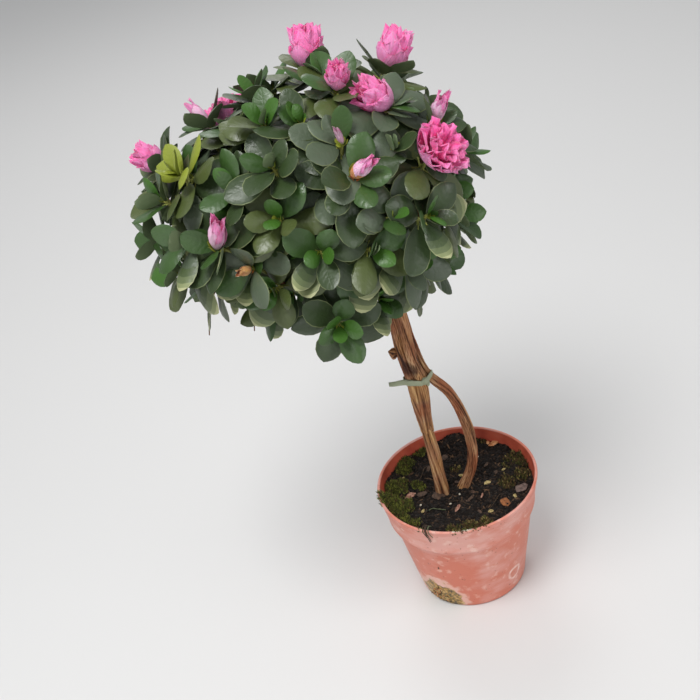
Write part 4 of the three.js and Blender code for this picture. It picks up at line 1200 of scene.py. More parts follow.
def bark_tube(heap, path, radii, sides, seed, depth=1.0):
    """Adds a closed tube whose surface is cut by the long grooves of bark."""
    across, other = carried_frames(path)
    along = np.concatenate([[0], np.cumsum(np.linalg.norm(np.diff(path, axis=0), axis=1))])
    points, grain = [], []
    for centre, radius, x_axis, y_axis, distance in zip(path, radii, across, other, along):
        for side in range(sides):
            angle = 2 * pi * side / sides
            # the grain winds slowly round the stem
            wound = angle + distance / BARK_WINDING
            cosine, sine = cos(wound), sin(wound)
            swell = rough(1.6 * cosine + seed, 1.6 * sine, distance / 34)
            cleft = exp(-(rough(2.1 * cosine, 2.1 * sine + seed, distance / 75) / 0.11) ** 2)
            crack = exp(-(rough(5.2 * cosine + seed, 5.2 * sine, distance / 30) / 0.13) ** 2)
            scale = rough(12 * cosine, 12 * sine, distance / 6 + seed)
            height = depth * (0.7 * swell - 0.85 * cleft - 0.22 * crack + 0.12 * scale)
            out = max(radius + height * min(1, radius / 3), 0.05)
            points.append(centre + out * (cos(angle) * x_axis + sin(angle) * y_axis))
            # the tone value darkens in the carved clefts and grows paler on the swells: the bark's own tone,
            # with painted shade in the clefts and painted light on the swells
            grain.append(min(1, max(0, 0.56 + 0.34 * swell - 0.44 * cleft - 0.13 * crack + 0.1 * scale)))
    points += [path[0], path[-1]]
    grain += [0.4, 0.4]
    heap.add(points, capped_faces(len(path), sides), 0, grain)


def knuckled(points, radii):
    """A stem's line and radii, carried on past its tip round the swelling from which the boughs part."""
    path = spline(points, round(curve_length(spline(points, 60)) / STEM_STEP))
    thickness = stem_radii(path, radii)
    ahead = unit(path[-1] - path[-2])
    beyond = np.array([path[-1] + ahead * KNUCKLE_RADIUS * share for share in KNUCKLE_SHARES])
    path = np.vstack([path, beyond])
    thickness += [thickness[-1]] * len(beyond)
    tip = np.array(points[-1], float)
    for number, place in enumerate(path):
        away = float(np.linalg.norm(place - tip))
        ball = sqrt(max(0, 1 - (away / KNUCKLE_RADIUS) ** 2)) * KNUCKLE_RADIUS * 0.92
        collar = KNUCKLE_COLLAR.height * exp(-((away / (KNUCKLE_COLLAR.reach * KNUCKLE_RADIUS)) ** 2))
        past = (place - tip) @ ahead > 0
        thickness[number] = max(ball, 0.3) if past else max(ball, thickness[number] + collar)
    return path, thickness


def build_stems(bark):
    trunk = Heap()
    path = spline(MAIN_TRUNK, TRUNK_STEPS)
    radii = stem_radii(path, TRUNK_RADII)
    # its end is rounded off between the arms
    for number in range(1, 7):
        radii[-number] *= sqrt(1 - (1 - number / 7) ** 2)
    bark_tube(trunk, path, radii, TRUNK_SIDES, 1.5)
    for number, points in enumerate((LEFT_ARM, RIGHT_ARM)):
        path, radii = knuckled(points, ARM_RADII)
        bark_tube(trunk, path, radii, ARM_SIDES, 4.5 + 3 * number)
    start = np.array(STUB.start, float)
    out = unit(np.array(STUB.aim, float) - start)
    distances = np.linspace(0, STUB.length, 15)
    line = np.array([start + out * distance for distance in distances])
    # the knob is two lumps, one leaning up and one down
    for shift, share in ((UP * 1.5 + out * 0.5, 0.72), (-UP * 1.4, 0.85)):
        swell = [STUB.radius + share * STUB.knob * exp(-((along - STUB.knob_at) / STUB.knob_reach) ** 2)
                 for along in distances]
        swell[-1], swell[-2] = 0.4, swell[-2] * 0.8
        bark_tube(trunk, line + shift * np.linspace(0, 1, 15)[:, None], swell, 20, 11 + share, 1.3)
    seat(heap_object("stem_main_bark", trunk, [bark]), "bark", "stem_main")

    second = Heap()
    path, radii = knuckled(SECOND_STEM, SECOND_RADII)
    bark_tube(second, path, radii, ARM_SIDES, 19.5)
    seat(heap_object("stem_second_bark", second, [bark]), "bark", "stem_second")


# Tie

def build_tie():
    """Soft pale tape drawn round the three strands, creased, with its end left standing out to the left."""
    heap = Heap()
    steps, ring = 120, len(TAPE_SECTION)
    points = []
    for step in range(steps):
        angle = 2 * pi * step / steps
        out = np.array([cos(angle), sin(angle), 0])
        x, y, radius = max(TIED_STRANDS, key=lambda each: each[0] * out[0] + each[1] * out[1] + each[2])
        centre = np.array([x, y, TIE.height]) + out * (radius + 0.75)
        # it sits lower behind than in front
        centre[2] += 0.5 * rough(2 * out[0], 2 * out[1], 0.7) - 0.55 * max(0, centre[1] - 1)
        width = TIE.width * (0.78 + 0.2 * rough(3 * out[0], 3 * out[1], 2.9))
        for along, thick in TAPE_SECTION:
            crease = 0.3 * rough(5 * out[0], 5 * out[1], 3 * along)
            points.append(centre + out * (thick * TIE.thickness + crease) + UP * along * width)
    heap.add(points, grid_faces(steps, ring, closed=True, looped=True))
    tail = []
    rows = 14
    for row in range(rows + 1):
        t = row / rows
        place = np.array([mix(-17.5, -17.5 - TIE.tail, t), -6.2 + 1.6 * t + 0.8 * sin(5 * t),
                          TIE.height + 0.4 + 1.6 * t])
        twist = 0.9 * t + 0.2 * sin(7 * t)
        wide = np.array([0, sin(twist), cos(twist)])
        thin = np.array([0, -cos(twist), sin(twist)])
        width = TIE.width * mix(0.75, 0.55, t)
        for along, thick in TAPE_SECTION:
            tail.append(place + wide * along * width + thin * thick * TIE.thickness)
    tail_faces = grid_faces(rows + 1, ring, closed=True)
    tail_faces += [tuple(range(ring - 1, -1, -1)), tuple(rows * ring + side for side in range(ring))]
    heap.add(tail, tail_faces)

    def crumpled(angle, height):
        return 0.5 * rough(2 * cos(angle), 2 * sin(angle), height)

    knot = [(radius * KNOT.radius, KNOT.half_height * height) for radius, height in KNOT_OUTLINE]
    knot_points, knot_faces = lathe(knot, 20, crumpled)
    for place, stretch in KNOT_LUMPS:
        heap.add([np.array(place) + np.array(point) * stretch for point in knot_points], knot_faces)
    tape, tree, surface, place = material("tape_soft_sage", Base_Color=linear("#949a7e"), Roughness=0.42)
    creased = node(tree, "ShaderNodeMapping", {"Vector": place, "Scale": (260.0, 260.0, 700.0)})
    crinkle = node(tree, "ShaderNodeTexNoise", {"Vector": creased.outputs[0], "Scale": 1.0, "Detail": 2.0})
    relief(tree, surface, crinkle.outputs["Fac"], 0.5)
    seat(heap_object("tie_tape", heap, [tape]), "tape", "tie")


# Crown

def outside(direction):
    """The distance from the heart to the crown's outside."""
    reaches = []
    for centre, radii in LOBES:
        start, along = (HEART - centre) / radii, direction / radii
        square, slope, rest = along @ along, start @ along, start @ start - 1
        reaches.append((-slope + sqrt(max(slope * slope - square * rest, 0))) / square)
    return max(reaches)


def spread(count, high, low):
    """Directions spread evenly over a round cap, from a high one to a low one."""
    made = []
    for number in range(count):
        z = mix(high, low, (number + 0.5) / count)
        flat, angle = sqrt(1 - z * z), number * GOLDEN
        made.append(np.array([flat * cos(angle), flat * sin(angle), z]))
    return made


def bearing(azimuth, elevation):
    """A direction by degrees round from the front towards the right, and degrees up."""
    turn, rise = radians(azimuth), radians(elevation)
    return np.array([cos(rise) * sin(turn), -cos(rise) * cos(turn), sin(rise)])


def lay_out_masses():
    """Each mass of foliage: the direction of its space, and its bough from the nearest knuckle."""
    knuckles = [np.array(points[-1], float) for points in KNUCKLED_STEMS]
    masses = []
    for direction in spread(len(MASSES), MASS_SPREAD.high, MASS_SPREAD.low):
        aim = HEART + direction * MASS_SPREAD.reach * outside(direction)
        tip = HUB + (aim - HUB) * BOUGH_REACH / MASS_SPREAD.reach
        knuckle = min(knuckles, key=lambda each: np.linalg.norm(each - aim))
        middle = (knuckle + tip) / 2 + UP * BOUGH_RISE
        masses.append(Record(axis=unit(aim - HUB), bough=spline([knuckle, middle, tip], 40)))
    return masses


class Limbs:
    """The limbs' centre-lines as short straight lengths, for keeping leaves and twigs off them."""

    def __init__(self, masses):
        starts, ends, radii = [], [], []
        lines = [(spline(points, 16), ARM_RADII.foot) for points in (LEFT_ARM, RIGHT_ARM)]
        lines += [(spline(SECOND_STEM, 26), SECOND_RADII.foot)]
        lines += [(evenly(mass.bough, 12), BOUGH_RADII.foot) for mass in masses]
        lines += [(np.array([points[-1]] * 2, float), KNUCKLE_RADIUS) for points in KNUCKLED_STEMS]
        for line, radius in lines:
            starts += list(line[:-1])
            ends += list(line[1:])
            radii += [radius] * (len(line) - 1)
        self.starts, self.radii = np.array(starts), np.array(radii)
        self.spans = np.array(ends) - self.starts

    def touched(self, points):
        """True where a point lies in a limb or too close to it."""
        arms = points[:, None, :] - self.starts[None]
        lengths = np.maximum((self.spans**2).sum(1), 1e-9)
        share = np.clip((arms * self.spans).sum(2) / lengths, 0, 1)
        away = np.linalg.norm(arms - share[..., None] * self.spans, axis=2)
        return bool((away < self.radii + LIMB_MARGIN).any())


def depth_inside(points, masses, home):
    """How far points lie inside a mass's own space."""
    normals = np.array([home.axis - other.axis for other in masses if other is not home])
    return ((points - HUB) @ normals.T / np.linalg.norm(normals, axis=1)).min()


def home_of(tip, masses):
    return max(masses, key=lambda each: each.axis @ (tip - HUB))


def lay_out_shoots(masses):
    """Shoot tips over the crown's outside, the nearest ones moved to the places that are given."""
    draw = dice(7)
    places = []
    for direction in spread(SHOOT_COUNT, SHOOT_SPREAD.high, SHOOT_SPREAD.low):
        places.append(Record(direction=unit(direction + 0.14 * jittered(draw)), sunk=5 * draw(), bloom=None,
                             fixed=None))
    for kind, azimuth, elevation, *rest in PLACED_SHOOTS:
        wanted = bearing(azimuth, elevation)
        nearest = min((place for place in places if not place.fixed),
                      key=lambda each: np.linalg.norm(each.direction - wanted))
        nearest.direction, nearest.sunk, nearest.fixed = wanted, 0, (azimuth, elevation)
        if kind == "leaves":
            nearest.sunk = -rest[0]
        else:
            withered = kind == "withered"
            nearest.bloom = Record(kind="bud" if withered else kind, size=rest[0], lean=rest[1],
                                   foot=rest[2], withered=withered)
    shoots = []
    for number, place in enumerate(places):
        tip = HEART + place.direction * (outside(place.direction) - SHOOT_DEPTH - place.sunk)
        home = home_of(tip, masses)
        for other in masses:
            if other is not home:
                normal = unit(home.axis - other.axis)
                tip = tip + normal * max(0, SHOOT_INSET - (tip - HUB) @ normal)
        axis = unit(place.direction + UP * (SHOOT_RISE + LOW_SHOOT_RISE * max(0, -place.direction[2])))
        shoots.append(Record(tip=tip, axis=axis, bloom=place.bloom, home=home, draw=dice(100 + number),
                             layer=0, young=place.fixed == YOUNG_SHOOT))
    return shoots


def nearest_shoot(shoots, azimuth, elevation):
    """The shoot whose tip lies nearest to a bearing from the heart."""
    wanted = bearing(azimuth, elevation)
    return max(shoots, key=lambda each: unit(each.tip - HEART) @ wanted)


def hang_stalks(shoots):
    """Bare stalks from the tips of low shoots, as lines for strands()."""
    lines = []
    for azimuth, elevation, length in BARE_STALKS:
        shoot = nearest_shoot(shoots, azimuth, elevation)
        out = bearing(azimuth, 0)
        start = shoot.tip - shoot.axis * 6
        middle = start + out * 0.3 * length - UP * 0.45 * length
        end = start + out * 0.42 * length - UP * length
        radii = [mix(0.75, 0.4, step / 10) for step in range(11)]
        lines.append((bend_line(start, middle, end, 10), radii, [0] * 11))
    return lines


def lay_out_finer(masses):
    """Side shoots between and under the main ones, layer by layer."""
    shoots = []
    for layer, rule in enumerate(FINER_SHOOTS, start=1):
        draw = dice(rule.seed)
        for number, direction in enumerate(spread(rule.count, rule.high, rule.low)):
            direction = turned(direction, UP, layer)
            jitter = jittered(draw)
            direction = unit(direction + 0.2 * jitter)
            tip = HEART + direction * (outside(direction) - rule.depth - rule.spread * draw())
            axis = unit(direction + UP * SHOOT_RISE + 0.5 * jitter)
            shoots.append(Record(tip=tip, axis=axis, bloom=None, home=home_of(tip, masses),
                                 draw=dice(1000 * layer + number), layer=layer, young=False))
    return shoots


def bloom_axis(shoot):
    left, up = shoot.bloom.lean
    return unit(shoot.axis + np.array([-left, 0, up]))


def bloom_ball(shoot):
    """The ball that a shoot's bloom needs for itself."""
    ball, end = BLOOM_BALLS[shoot.bloom.kind]
    centre = shoot.tip + bloom_axis(shoot) * 0.6 * end * shoot.bloom.size
    return Record(centre=centre, radius=ball * shoot.bloom.size, home=shoot.home, shoot=shoot)


def near_bloom(points, blooms):
    return any((np.linalg.norm(points - bloom.centre, axis=1) < bloom.radius + BLOOM_MARGIN).any()
               for bloom in blooms)


def bend_line(start, bend, end, steps):
    """A line from start to end, drawn aside towards the bend, in equal steps."""
    t = np.linspace(0, 1, 40)[:, None]
    return evenly(start * (1 - t) ** 2 + 2 * bend * t * (1 - t) + end * t**2, steps)


def grow_twigs(masses, shoots, blooms, limbs):
    """Twigs from each mass's own stem to its shoots, each from the nearest twig that is already there.

    Returns the shoots that found room, and the twigs as lines for strands()."""
    lines, grown_shoots = [], []
    shares = np.linspace(0, 1, TWIG_STEPS + 1)
    for mass in masses:
        start = mass.bough[-1]
        ahead = unit(start - mass.bough[-2])
        fork = start + ahead * FORK_REACH
        lines.append((evenly([start - ahead * 2, fork], 3), FORK_RADII, [0] * 4))
        # places to fork from, each with the length of twig that leads to it
        forks = [(mix(fork, start, 0.15), 0)]
        own = [shoot for shoot in shoots if shoot.home is mass]
        own.sort(key=lambda each: (each.layer, np.linalg.norm(each.tip - fork)))
        others_blooms = [bloom for bloom in blooms if bloom.home is not mass]
        for shoot in own:
            place, length = min(forks, key=lambda each: np.linalg.norm(each[0] - shoot.tip) + 0.3 * each[1])
            span = np.linalg.norm(place - shoot.tip)
            bend = shoot.tip - shoot.axis * 0.35 * span
            path = bend_line(place, bend, shoot.tip, TWIG_STEPS)
            samples = path[2:]
            if limbs.touched(samples) or near_bloom(samples, others_blooms):
                continue
            if shoot.layer == 0 and depth_inside(samples, masses, mass) < CELL_MARGIN:
                continue
            foot = mix(TWIG_RADII.foot, TWIG_RADII.tip, min(1, length / TWIG_THINNED))
            knots = [1 + 0.12 * (shoot.draw() - 0.5) for _ in path] if shoot.layer else [1] * len(path)
            radii = [mix(foot, TWIG_RADII.tip, share) * knot for share, knot in zip(shares, knots)]
            radii[-1] = TWIG_RADII.end
            green = max(0, 1 - TWIG_GREEN / max(span, 1))
            lines.append((path, radii, [1 if share > green else 0 for share in shares]))
            forks.append((path[4] * 0.8 + path[5] * 0.2, length + 0.35 * span))
            forks.append((path[7] * 0.8 + path[8] * 0.2, length + 0.6 * span))
            grown_shoots.append(shoot)
    return grown_shoots, lines


# Leaves

# Colours of the leaves' parts: old and young blades, the steps by which a tip turns pale, and the rest
# the grey blade is an old leaf's own greyer green, made greyer still as painted sheen
LEAF_COLOURS = {
    "deep": "#304022", "grey": "#4b5743", "olive": "#48532a", "mid": "#355023", "young": "#3b6020",
    "lime": "#808a2c", "rim": "#667049", "tip_faint": "#43512f", "tip_soft": "#5b6742",
    "tip_light": "#7b8358", "tip_pale": "#a3a57a", "under": "#6f7f5c", "stalk": "#8d9244", "dry": "#a05d2e",
}
LEAF_FINISHES = list(LEAF_COLOURS)
# The finishes that show veins, with their roughness; the others are rougher and plain
VEINED = {"deep": 0.38, "grey": 0.42, "olive": 0.4, "mid": 0.37, "young": 0.36, "lime": 0.45,
          "tip_faint": 0.42, "tip_soft": 0.44}
# For each tone of leaf: the finish of its blade, of its rim and of its underside, and the steps of its tip
PALE_TIP = ("tip_faint", "tip_soft", "tip_light", "tip_pale", "tip_pale")
LEAF_TONES = {
    "deep": ("deep", "rim", "under", ()),
    "grey": ("grey", "rim", "under", ()),
    "olive": ("olive", "olive", "under", ()),
    "mid": ("mid", "mid", "under", ()),
    "young": ("young", "young", "under", ()),
    "lime": ("lime", "lime", "lime", ()),
    "deep_pale": ("deep", "rim", "under", PALE_TIP),
    "grey_pale": ("grey", "rim", "under", PALE_TIP),
    "dry": ("dry", "dry", "dry", ()),
}
BLADE_FOOT_POWER = 0.95
BLADE_TIP_POWER = 0.66


def blade_width(share):
    """Half the blade's width along it: an ellipse, narrowed to the stalk and widest just past its middle."""
    widest = BLADE_FOOT_POWER / (BLADE_FOOT_POWER + BLADE_TIP_POWER)
    most = widest**BLADE_FOOT_POWER * (1 - widest) ** BLADE_TIP_POWER
    return LEAF_HALF_WIDTH * share**BLADE_FOOT_POWER * (1 - share) ** BLADE_TIP_POWER / most


def leaf_shape(form, tone):
    """A leaf of unit length along +Y, its glossy side up: a closed blade of some 70 faces, and its stalk."""
    curl, fold, wave, wide = LEAF_SHAPES[form]
    blade, rim, under, tips = LEAF_TONES[tone]
    stalk = "stalk" if tone != "dry" else "dry"
    line = curled_line((LEAF_FOOT, 0), 1 - LEAF_FOOT,
                       lambda share: radians(curl) * (0.4 - 1.15 * share), 40)

    def corner(row_place, column, thick):
        station = row_place - 4 * LEAF_BOW * row_place * (1 - row_place) * column**2
        y, z, pitch = on_line(line, station)
        half = blade_width(station) * wide
        lift = -fold * half * abs(column) ** 1.8
        lift += wave * half * sin(8 * station + 2 * form + column) * abs(column) ** 3
        lift -= 0.07 * half * (abs(column) < 0.1)
        lift -= thick * (1 - column**2) * sqrt(max(0, 4 * station * (1 - station)))
        return (column * half, y - sin(pitch) * lift, z + cos(pitch) * lift)

    points, blades, faces, finishes = [], [], [], []
    for columns, thick in ((LEAF_COLUMNS, 0), (LEAF_UNDER_COLUMNS, LEAF_THICKNESS)):
        first = len(points)
        for station in LEAF_STATIONS:
            for column in columns:
                points.append(corner(station, column, thick))
                blades.append((column, station))
        rows = len(LEAF_STATIONS) - 1
        for number, face in enumerate(grid_faces(rows + 1, len(columns))):
            row, column = divmod(number, len(columns) - 1)
            face = tuple(first + each for each in face)
            faces.append(face[::-1] if thick else face)
            if thick:
                finishes.append(under)
                continue
            on_rim = column in (0, len(columns) - 2)
            step = row - (rows - len(tips)) + (1 if on_rim else 0)
            if tips and step >= 0:
                finishes.append(tips[min(step, len(tips) - 1)])
            else:
                finishes.append(rim if on_rim else blade)
    first = len(points)
    for along, level in ((0, 0), (LEAF_FOOT + 0.1, 0.02)):
        for side in range(3):
            turn = 2 * pi * side / 3 + pi / 2
            points.append((0.024 * cos(turn), along, level - 0.012 + 0.02 * sin(turn)))
            blades.append((0, 0))
    for side in range(3):
        after = (side + 1) % 3
        faces.append((first + side, first + after, first + 3 + after, first + 3 + side)[::-1])
        finishes.append(stalk)
    faces += [(first, first + 1, first + 2), (first + 5, first + 4, first + 3)]
    finishes += [stalk, stalk]
    return shape_object(points, faces, [LEAF_FINISHES.index(finish) for finish in finishes], blades)


def rosette_leaf(shoot, turn, rank, scale, lift, twist):
    """The frame of one leaf; rank runs from 0, the outermost, to 1, the innermost."""
    tilt = radians(mix(LEAF_TILT.outer, LEAF_TILT.inner, rank) - lift)
    side = unit(np.cross(UP if abs(shoot.axis[2]) < 0.9 else np.array([1.0, 0, 0]), shoot.axis))
    side = turned(side, shoot.axis, turn)
    along = shoot.axis * cos(tilt) + side * sin(tilt)
    above = turned(unit(shoot.axis - along * (shoot.axis @ along)), along, twist)
    root = shoot.tip + shoot.axis * mix(LEAF_ROOTS.outer, LEAF_ROOTS.inner, rank) - side * LEAF_ROOTS.sunk
    length = scale * mix(LEAF_LENGTH.outer, LEAF_LENGTH.inner, rank**1.4)
    return Record(root=root, along=along, across=np.cross(along, above), above=above, length=length)


class Grown:
    """Leaves that are already in place, for telling whether another passes through them."""

    def __init__(self):
        stations, columns = np.meshgrid([0.25, 0.5, 0.75, 0.98], [-0.85, 0, 0.85])
        self.marks = np.stack([stations.ravel(), columns.ravel()], axis=1)
        self.outer_half = self.marks[:, 0] > 0.4
        self.roots, self.bases, self.lengths, self.samples = [], [], [], []

    def sample(self, leaf):
        along, across = self.marks[:, :1], self.marks[:, 1:]
        return (leaf.root + leaf.along * along * leaf.length
                + leaf.across * across * LEAF_HALF_WIDTH * leaf.length * np.minimum(1, 2.2 * (1.12 - along))
                - leaf.above * LEAF_SAG * leaf.length * along**2)

    @staticmethod
    def pierced(samples, root, basis, length):
        """True where points within a blade's outline lie both above and below it, for stacks of blades."""
        local = np.einsum("...pi,...ij->...pj", samples - root[..., None, :], basis) / length[..., None, None]
        inside = (local[..., 1] > 0.15) & (local[..., 1] < 1) & (abs(local[..., 0]) < LEAF_HALF_WIDTH)
        height = local[..., 2] + LEAF_SAG * local[..., 1] ** 2
        slack = 0.02
        return ((inside & (height > slack)).any(-1) & (inside & (height < -slack)).any(-1)).any()

    def crossed(self, leaf, samples):
        """True if the leaf passes through one that is in place, or that one through it."""
        if not self.roots:
            return False
        roots = np.array(self.roots)
        near = np.linalg.norm(roots - leaf.root, axis=1) < LEAVES_MEET
        if not near.any():
            return False
        bases, lengths = np.array(self.bases)[near], np.array(self.lengths)[near]
        if self.pierced(samples[None], roots[near], bases, lengths):
            return True
        basis = np.stack([leaf.across, leaf.along, leaf.above], axis=1)
        return self.pierced(np.array(self.samples)[near], leaf.root, basis, np.array(leaf.length))

    def add(self, leaf, samples):
        self.roots.append(leaf.root)
        self.bases.append(np.stack([leaf.across, leaf.along, leaf.above], axis=1))
        self.lengths.append(leaf.length)
        self.samples.append(samples)


def pick_tone(shoot, leaf, rank, old):
    """The tone of a leaf: bright inside a rosette, dark outside it, paler at the tip low on the crown, where
    pale tips are dealt out more often as painted light from below.
    """
    chance = shoot.draw()
    if shoot.young:
        return "lime" if rank > 0.3 else "olive"
    if rank > 0.78:
        return "young"
    if rank > 0.48:
        return "mid" if chance < 0.6 else old
    # pale tips are the leaves' own colour, but low on the crown more leaves get them as painted light from
    # below
    low = leaf.along[2] < 0.1 and shoot.tip[2] < 366
    if low and chance < 0.6:
        return "grey_pale" if old == "grey" else "deep_pale"
    return old


def grow_leaves(shoots, blooms, limbs):
    """Leaves round each shoot, the outermost first; one that has no room is turned, lifted or left out."""
    grown_leaves = Grown()
    made = []
    for shoot in sorted(shoots, key=lambda each: each.layer):
        count = LEAF_COUNT.least + int(LEAF_COUNT.spare * shoot.draw())
        if shoot.layer == 2:
            count -= 2
        first_turn = 2 * pi * shoot.draw()
        old = ("deep", "grey", "olive", "deep")[int(4 * shoot.draw())]
        own = [bloom for bloom in blooms if bloom.shoot is shoot]
        others = [bloom for bloom in blooms if bloom.shoot is not shoot]
        for number in range(count):
            rank = number / (count - 1) * (LEAF_RANK_ROUND_BLOOM if shoot.bloom else 1)
            scale, twist = 0.88 + 0.22 * shoot.draw(), 0.5 * (shoot.draw() - 0.5)
            form = int(len(LEAF_SHAPES) * shoot.draw())
            for turn, size, lift in LEAF_TRIES:
                round_by = first_turn + number * GOLDEN + radians(turn)
                leaf = rosette_leaf(shoot, round_by, rank, scale * size, lift, twist)
                samples = grown_leaves.sample(leaf)
                # a leaf starts beside its own shoot's bloom, so only its outer half keeps clear of it
                blocked = near_bloom(samples, others) or near_bloom(samples[grown_leaves.outer_half], own)
                if not (blocked or grown_leaves.crossed(leaf, samples) or limbs.touched(samples)):
                    grown_leaves.add(leaf, samples)
                    made.append((shoot.home, leaf, form, pick_tone(shoot, leaf, rank, old)))
                    break
    return made


def sepals(shoot):
    """The short green scales that hold a bloom, or the young leaves folded in a rosette's heart."""
    if shoot.bloom:
        axis, size, count, tilt, back = bloom_axis(shoot), 8.5 * shoot.bloom.size, 5, 30, -3.0
    else:
        axis, size, count, tilt, back = shoot.axis, 6.5, 4, 18, -0.5
    side = unit(np.cross(axis, [0.3, 0.5, 0.81]))
    made = []
    for number in range(count):
        out = turned(side, axis, number * GOLDEN * (1 if shoot.bloom else 1.4))
        angle = radians(tilt + 8 * (shoot.draw() - 0.5))
        along = unit(axis * cos(angle) + out * sin(angle))
        above = unit(axis - along * (axis @ along))
        length = size * (0.8 + 0.4 * shoot.draw())
        leaf = Record(root=shoot.tip + axis * back + out * 0.4, along=along, across=np.cross(along, above),
                      above=above, length=length)
        tone = "lime" if (shoot.bloom or number < 3) else "young"
        if shoot.bloom and (shoot.bloom.foot == "orange_foot" or shoot.bloom.withered):
            tone = "dry" if number % 2 else "lime"
        made.append((shoot.home, leaf, 2 + number % 2 * 3, tone))
    return made


def build_leaves(masses, leaves, looks):
    """The leaves as two joined pieces, one for the higher masses and one for the lower."""
    shapes = Shapes("leaf")
    half = len(masses) // 2
    for name, part in (("leaves_upper", range(half)), ("leaves_lower", range(half, len(masses)))):
        homes = [masses[number] for number in part]
        dealt = Dealt()
        for home, leaf, form, tone in leaves:
            if any(home is each for each in homes):
                number = shapes.number((form, tone), lambda: leaf_shape(form, tone))
                dealt.add(leaf.root, leaf.across, leaf.along, leaf.above, leaf.length, number)
        piece = deal_out(name, dealt, shapes, looks)
        seat(piece, "foliage", *[MASSES[number] for number in part])
    shapes.clear()


# Blooms

PETAL_COLOURS = {
    "hot_in": "#fa66ac", "hot_out": "#f77ab6", "soft_in": "#f76fb0", "soft_out": "#f58bc0",
    "pale_in": "#f596c4", "pale_out": "#f6b4d4", "foot": "#d9cf98", "orange_foot": "#d98a50",
    "withered_in": "#c8793c", "withered_out": "#e39a58",
}
PETAL_FINISHES = list(PETAL_COLOURS)


def petal_shape(kind, layer, tone, foot_finish, form):
    """One petal, closed, about a flower's upright axis, in millimetres; its outer side is the paler one."""
    _, length, width, lean, flare, hug, ruffle, low = PETAL_LAYERS[kind][layer]
    draw = dice(50 * layer + form)
    phase, bend = 6 * draw(), 0.5 + draw()
    length, width = length * (0.92 + 0.16 * draw()), width * (0.92 + 0.16 * draw())
    line = curled_line((low, 0.9), length, lambda share: radians(mix(lean, flare, share**1.3)), 30)

    def corner(station, column, thick):
        # the sides end lower than the middle, and small notches break the tip's edge
        share = station * (1 - 0.2 * abs(column) ** 2.5)
        share -= 0.01 * station**8 * (1 + sin(11 * column + 3 * phase))
        height, radius, angle = on_line(line, share)
        rounded = sqrt(1 - 0.6 * max(0, (station - 0.75) / 0.25) ** 2)
        half = width / 2 * sin(pi * (0.13 + 0.62 * share**0.85)) * rounded
        round_by = max(radius * hug, half / 1.9, 1.0)
        turn = column * half / round_by
        edge = max(0.5 * abs(column) ** 3 * share, share**3.5)
        out = ruffle * edge * sin(5.5 * column * bend + phase + 3 * share)
        out += 0.35 * ruffle * edge * sin(10 * column + 2 * phase)
        out -= thick * (1 - column**4) * (1 - station**6) * (station > 0)
        radius += out * cos(angle)
        height -= out * sin(angle)
        return (radius - round_by + round_by * cos(turn), round_by * sin(turn), height)

    inside, outer = PETAL_FINISHES.index(tone + "_in"), PETAL_FINISHES.index(tone + "_out")
    foot = PETAL_FINISHES.index(foot_finish)
    points, blades, faces, finishes = [], [], [], []
    for thick, finish in ((0, outer), (PETAL_THICKNESS, inside)):
        first = len(points)
        for station in PETAL_STATIONS:
            for column in PETAL_COLUMNS:
                points.append(corner(station, column, thick))
                blades.append((column, station))
        foot_rows = {"open": 0, "half": 1, "bud": 3 if foot_finish == "orange_foot" else 1}[kind]
        for number, face in enumerate(grid_faces(len(PETAL_STATIONS), len(PETAL_COLUMNS))):
            face = tuple(first + each for each in face)
            faces.append(face[::-1] if thick else face)
            on_foot = number < foot_rows * (len(PETAL_COLUMNS) - 1)
            finishes.append(foot if on_foot else finish)
    return shape_object(points, faces, finishes, blades)


def bloom_tone(bloom, layer, chance):
    """The tone of one petal of a bloom."""
    if bloom.withered:
        return "withered"
    if bloom.kind == "bud":
        return "pale" if layer == 0 or bloom.size < SLENDER_BUD.largest else "soft"
    return "soft" if layer == 0 or chance < 0.25 else "hot"


def build_blooms(shoots, looks):
    shapes = Shapes("petal")
    dealt = Dealt()
    for shoot in shoots:
        if not shoot.bloom:
            continue
        axis, size = bloom_axis(shoot), shoot.bloom.size
        slender = shoot.bloom.kind == "bud" and size < SLENDER_BUD.largest and not shoot.bloom.withered
        slim = SLENDER_BUD.width if slender else 1
        side = unit(np.cross(axis, [0.2, 0.4, 0.9]))
        turn = 6 * shoot.draw()
        for layer, rule in enumerate(PETAL_LAYERS[shoot.bloom.kind]):
            for number in range(rule[0]):
                turn += 2 * pi / rule[0] + 0.25 * (shoot.draw() - 0.5)
                tipped = unit(axis + 0.08 * jittered(shoot.draw))
                out = turned(unit(side - tipped * (side @ tipped)), tipped, turn)
                tone = bloom_tone(shoot.bloom, layer, shoot.draw())
                key = (shoot.bloom.kind, layer, tone, shoot.bloom.foot, int(4 * shoot.draw()))
                shape = shapes.number(key, lambda: petal_shape(*key))
                dealt.add(shoot.tip - axis * 1.5, out, np.cross(tipped, out), tipped,
                          (size * slim, size * slim, size), shape)
            turn += 0.6
    seat(deal_out("blossom_petals", dealt, shapes, looks), "foliage", *MASSES)
    shapes.clear()


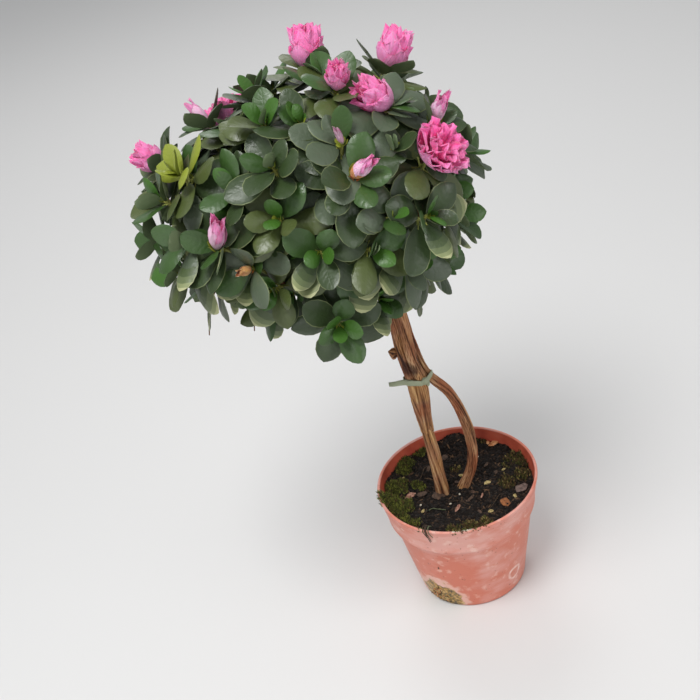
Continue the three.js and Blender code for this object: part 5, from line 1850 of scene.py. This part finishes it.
def build_crown(bark):
    masses = lay_out_masses()
    limbs = Limbs(masses)
    for number, mass in enumerate(masses, start=1):
        heap = Heap()
        steps = max(12, round(curve_length(mass.bough) / BOUGH_STEP))
        radii = [mix(BOUGH_RADII.foot, BOUGH_RADII.tip, t) for t in np.linspace(0, 1, steps + 1)]
        bark_tube(heap, evenly(mass.bough, steps), radii, BOUGH_SIDES, 30 + 2 * number, 0.8)
        seat(heap_object(f"bough_{number}_bark", heap, [bark]), "bark", f"bough_{number}")
    shoots = lay_out_shoots(masses)
    blooms = [bloom_ball(shoot) for shoot in shoots if shoot.bloom]
    shoots, twigs = grow_twigs(masses, shoots + lay_out_finer(masses), blooms, limbs)
    twig_looks = speckled_materials(
        ("twig_bark", "#5a3b26", "#8a6242", 0.8), ("twig_green", "#6d7034", "#99984a", 0.55))
    seat(strands("twigs", twigs + hang_stalks(shoots), 7, twig_looks), "bark", *MASSES)
    leaves = grow_leaves(shoots, blooms, limbs)
    for shoot in shoots:
        if shoot.layer < 2:
            leaves += sepals(shoot)
    looks = [leaf_material("leaf_" + name, LEAF_COLOURS[name], VEINED.get(name, 0.5), name in VEINED)
             for name in LEAF_FINISHES]
    build_leaves(masses, leaves, looks)
    petal_looks = [petal_material("petal_" + name, PETAL_COLOURS[name]) for name in PETAL_FINISHES]
    build_blooms(shoots, petal_looks)


# Stage

def build_stage():
    bpy.ops.mesh.primitive_circle_add(vertices=96, radius=9, fill_type="NGON", location=(0, 0, -0.0002))
    floor = bpy.context.object
    floor.name = "floor"
    floor_look = material("floor_matt_white", Base_Color=linear("#d4d3d2"), Roughness=0.6)[0]
    floor.data.materials.append(floor_look)

    world = bpy.data.worlds.new("soft_daylight")
    bpy.context.scene.world = world
    world.use_nodes = True
    background = world.node_tree.nodes["Background"]
    background.inputs["Color"].default_value = linear("#e6e8ea")
    background.inputs["Strength"].default_value = 0.58

    for name, (place, size, power) in LIGHTS.items():
        light = bpy.data.lights.new(name, "AREA")
        light.shape, light.size, light.energy = "DISK", size, power
        lamp = bpy.data.objects.new(name, light)
        lamp.location = place
        lamp.rotation_euler = (Vector(LIGHT_AIM) - Vector(place)).to_track_quat("-Z", "Y").to_euler()
        bpy.context.scene.collection.objects.link(lamp)

    camera = bpy.data.objects.new("camera", bpy.data.cameras.new("camera"))
    bpy.context.scene.collection.objects.link(camera)
    camera.data.lens = CAMERA_LENS
    camera.data.clip_end = 50
    place, aim = Vector(CAMERA_PLACE) * MM, Vector(CAMERA_AIM) * MM
    level = (aim - place).to_track_quat("-Z", "Y").to_matrix()
    camera.rotation_euler = (level @ Matrix.Rotation(radians(-CAMERA_ROLL), 3, "Z")).to_euler()
    camera.location = place
    bpy.context.scene.camera = camera
    bpy.context.scene.view_settings.view_transform = "Standard"


BARK = bark_material()
build_pot()
ground = build_soil()
build_litter(ground)
build_stems(BARK)
build_tie()
build_crown(BARK)
build_stage()
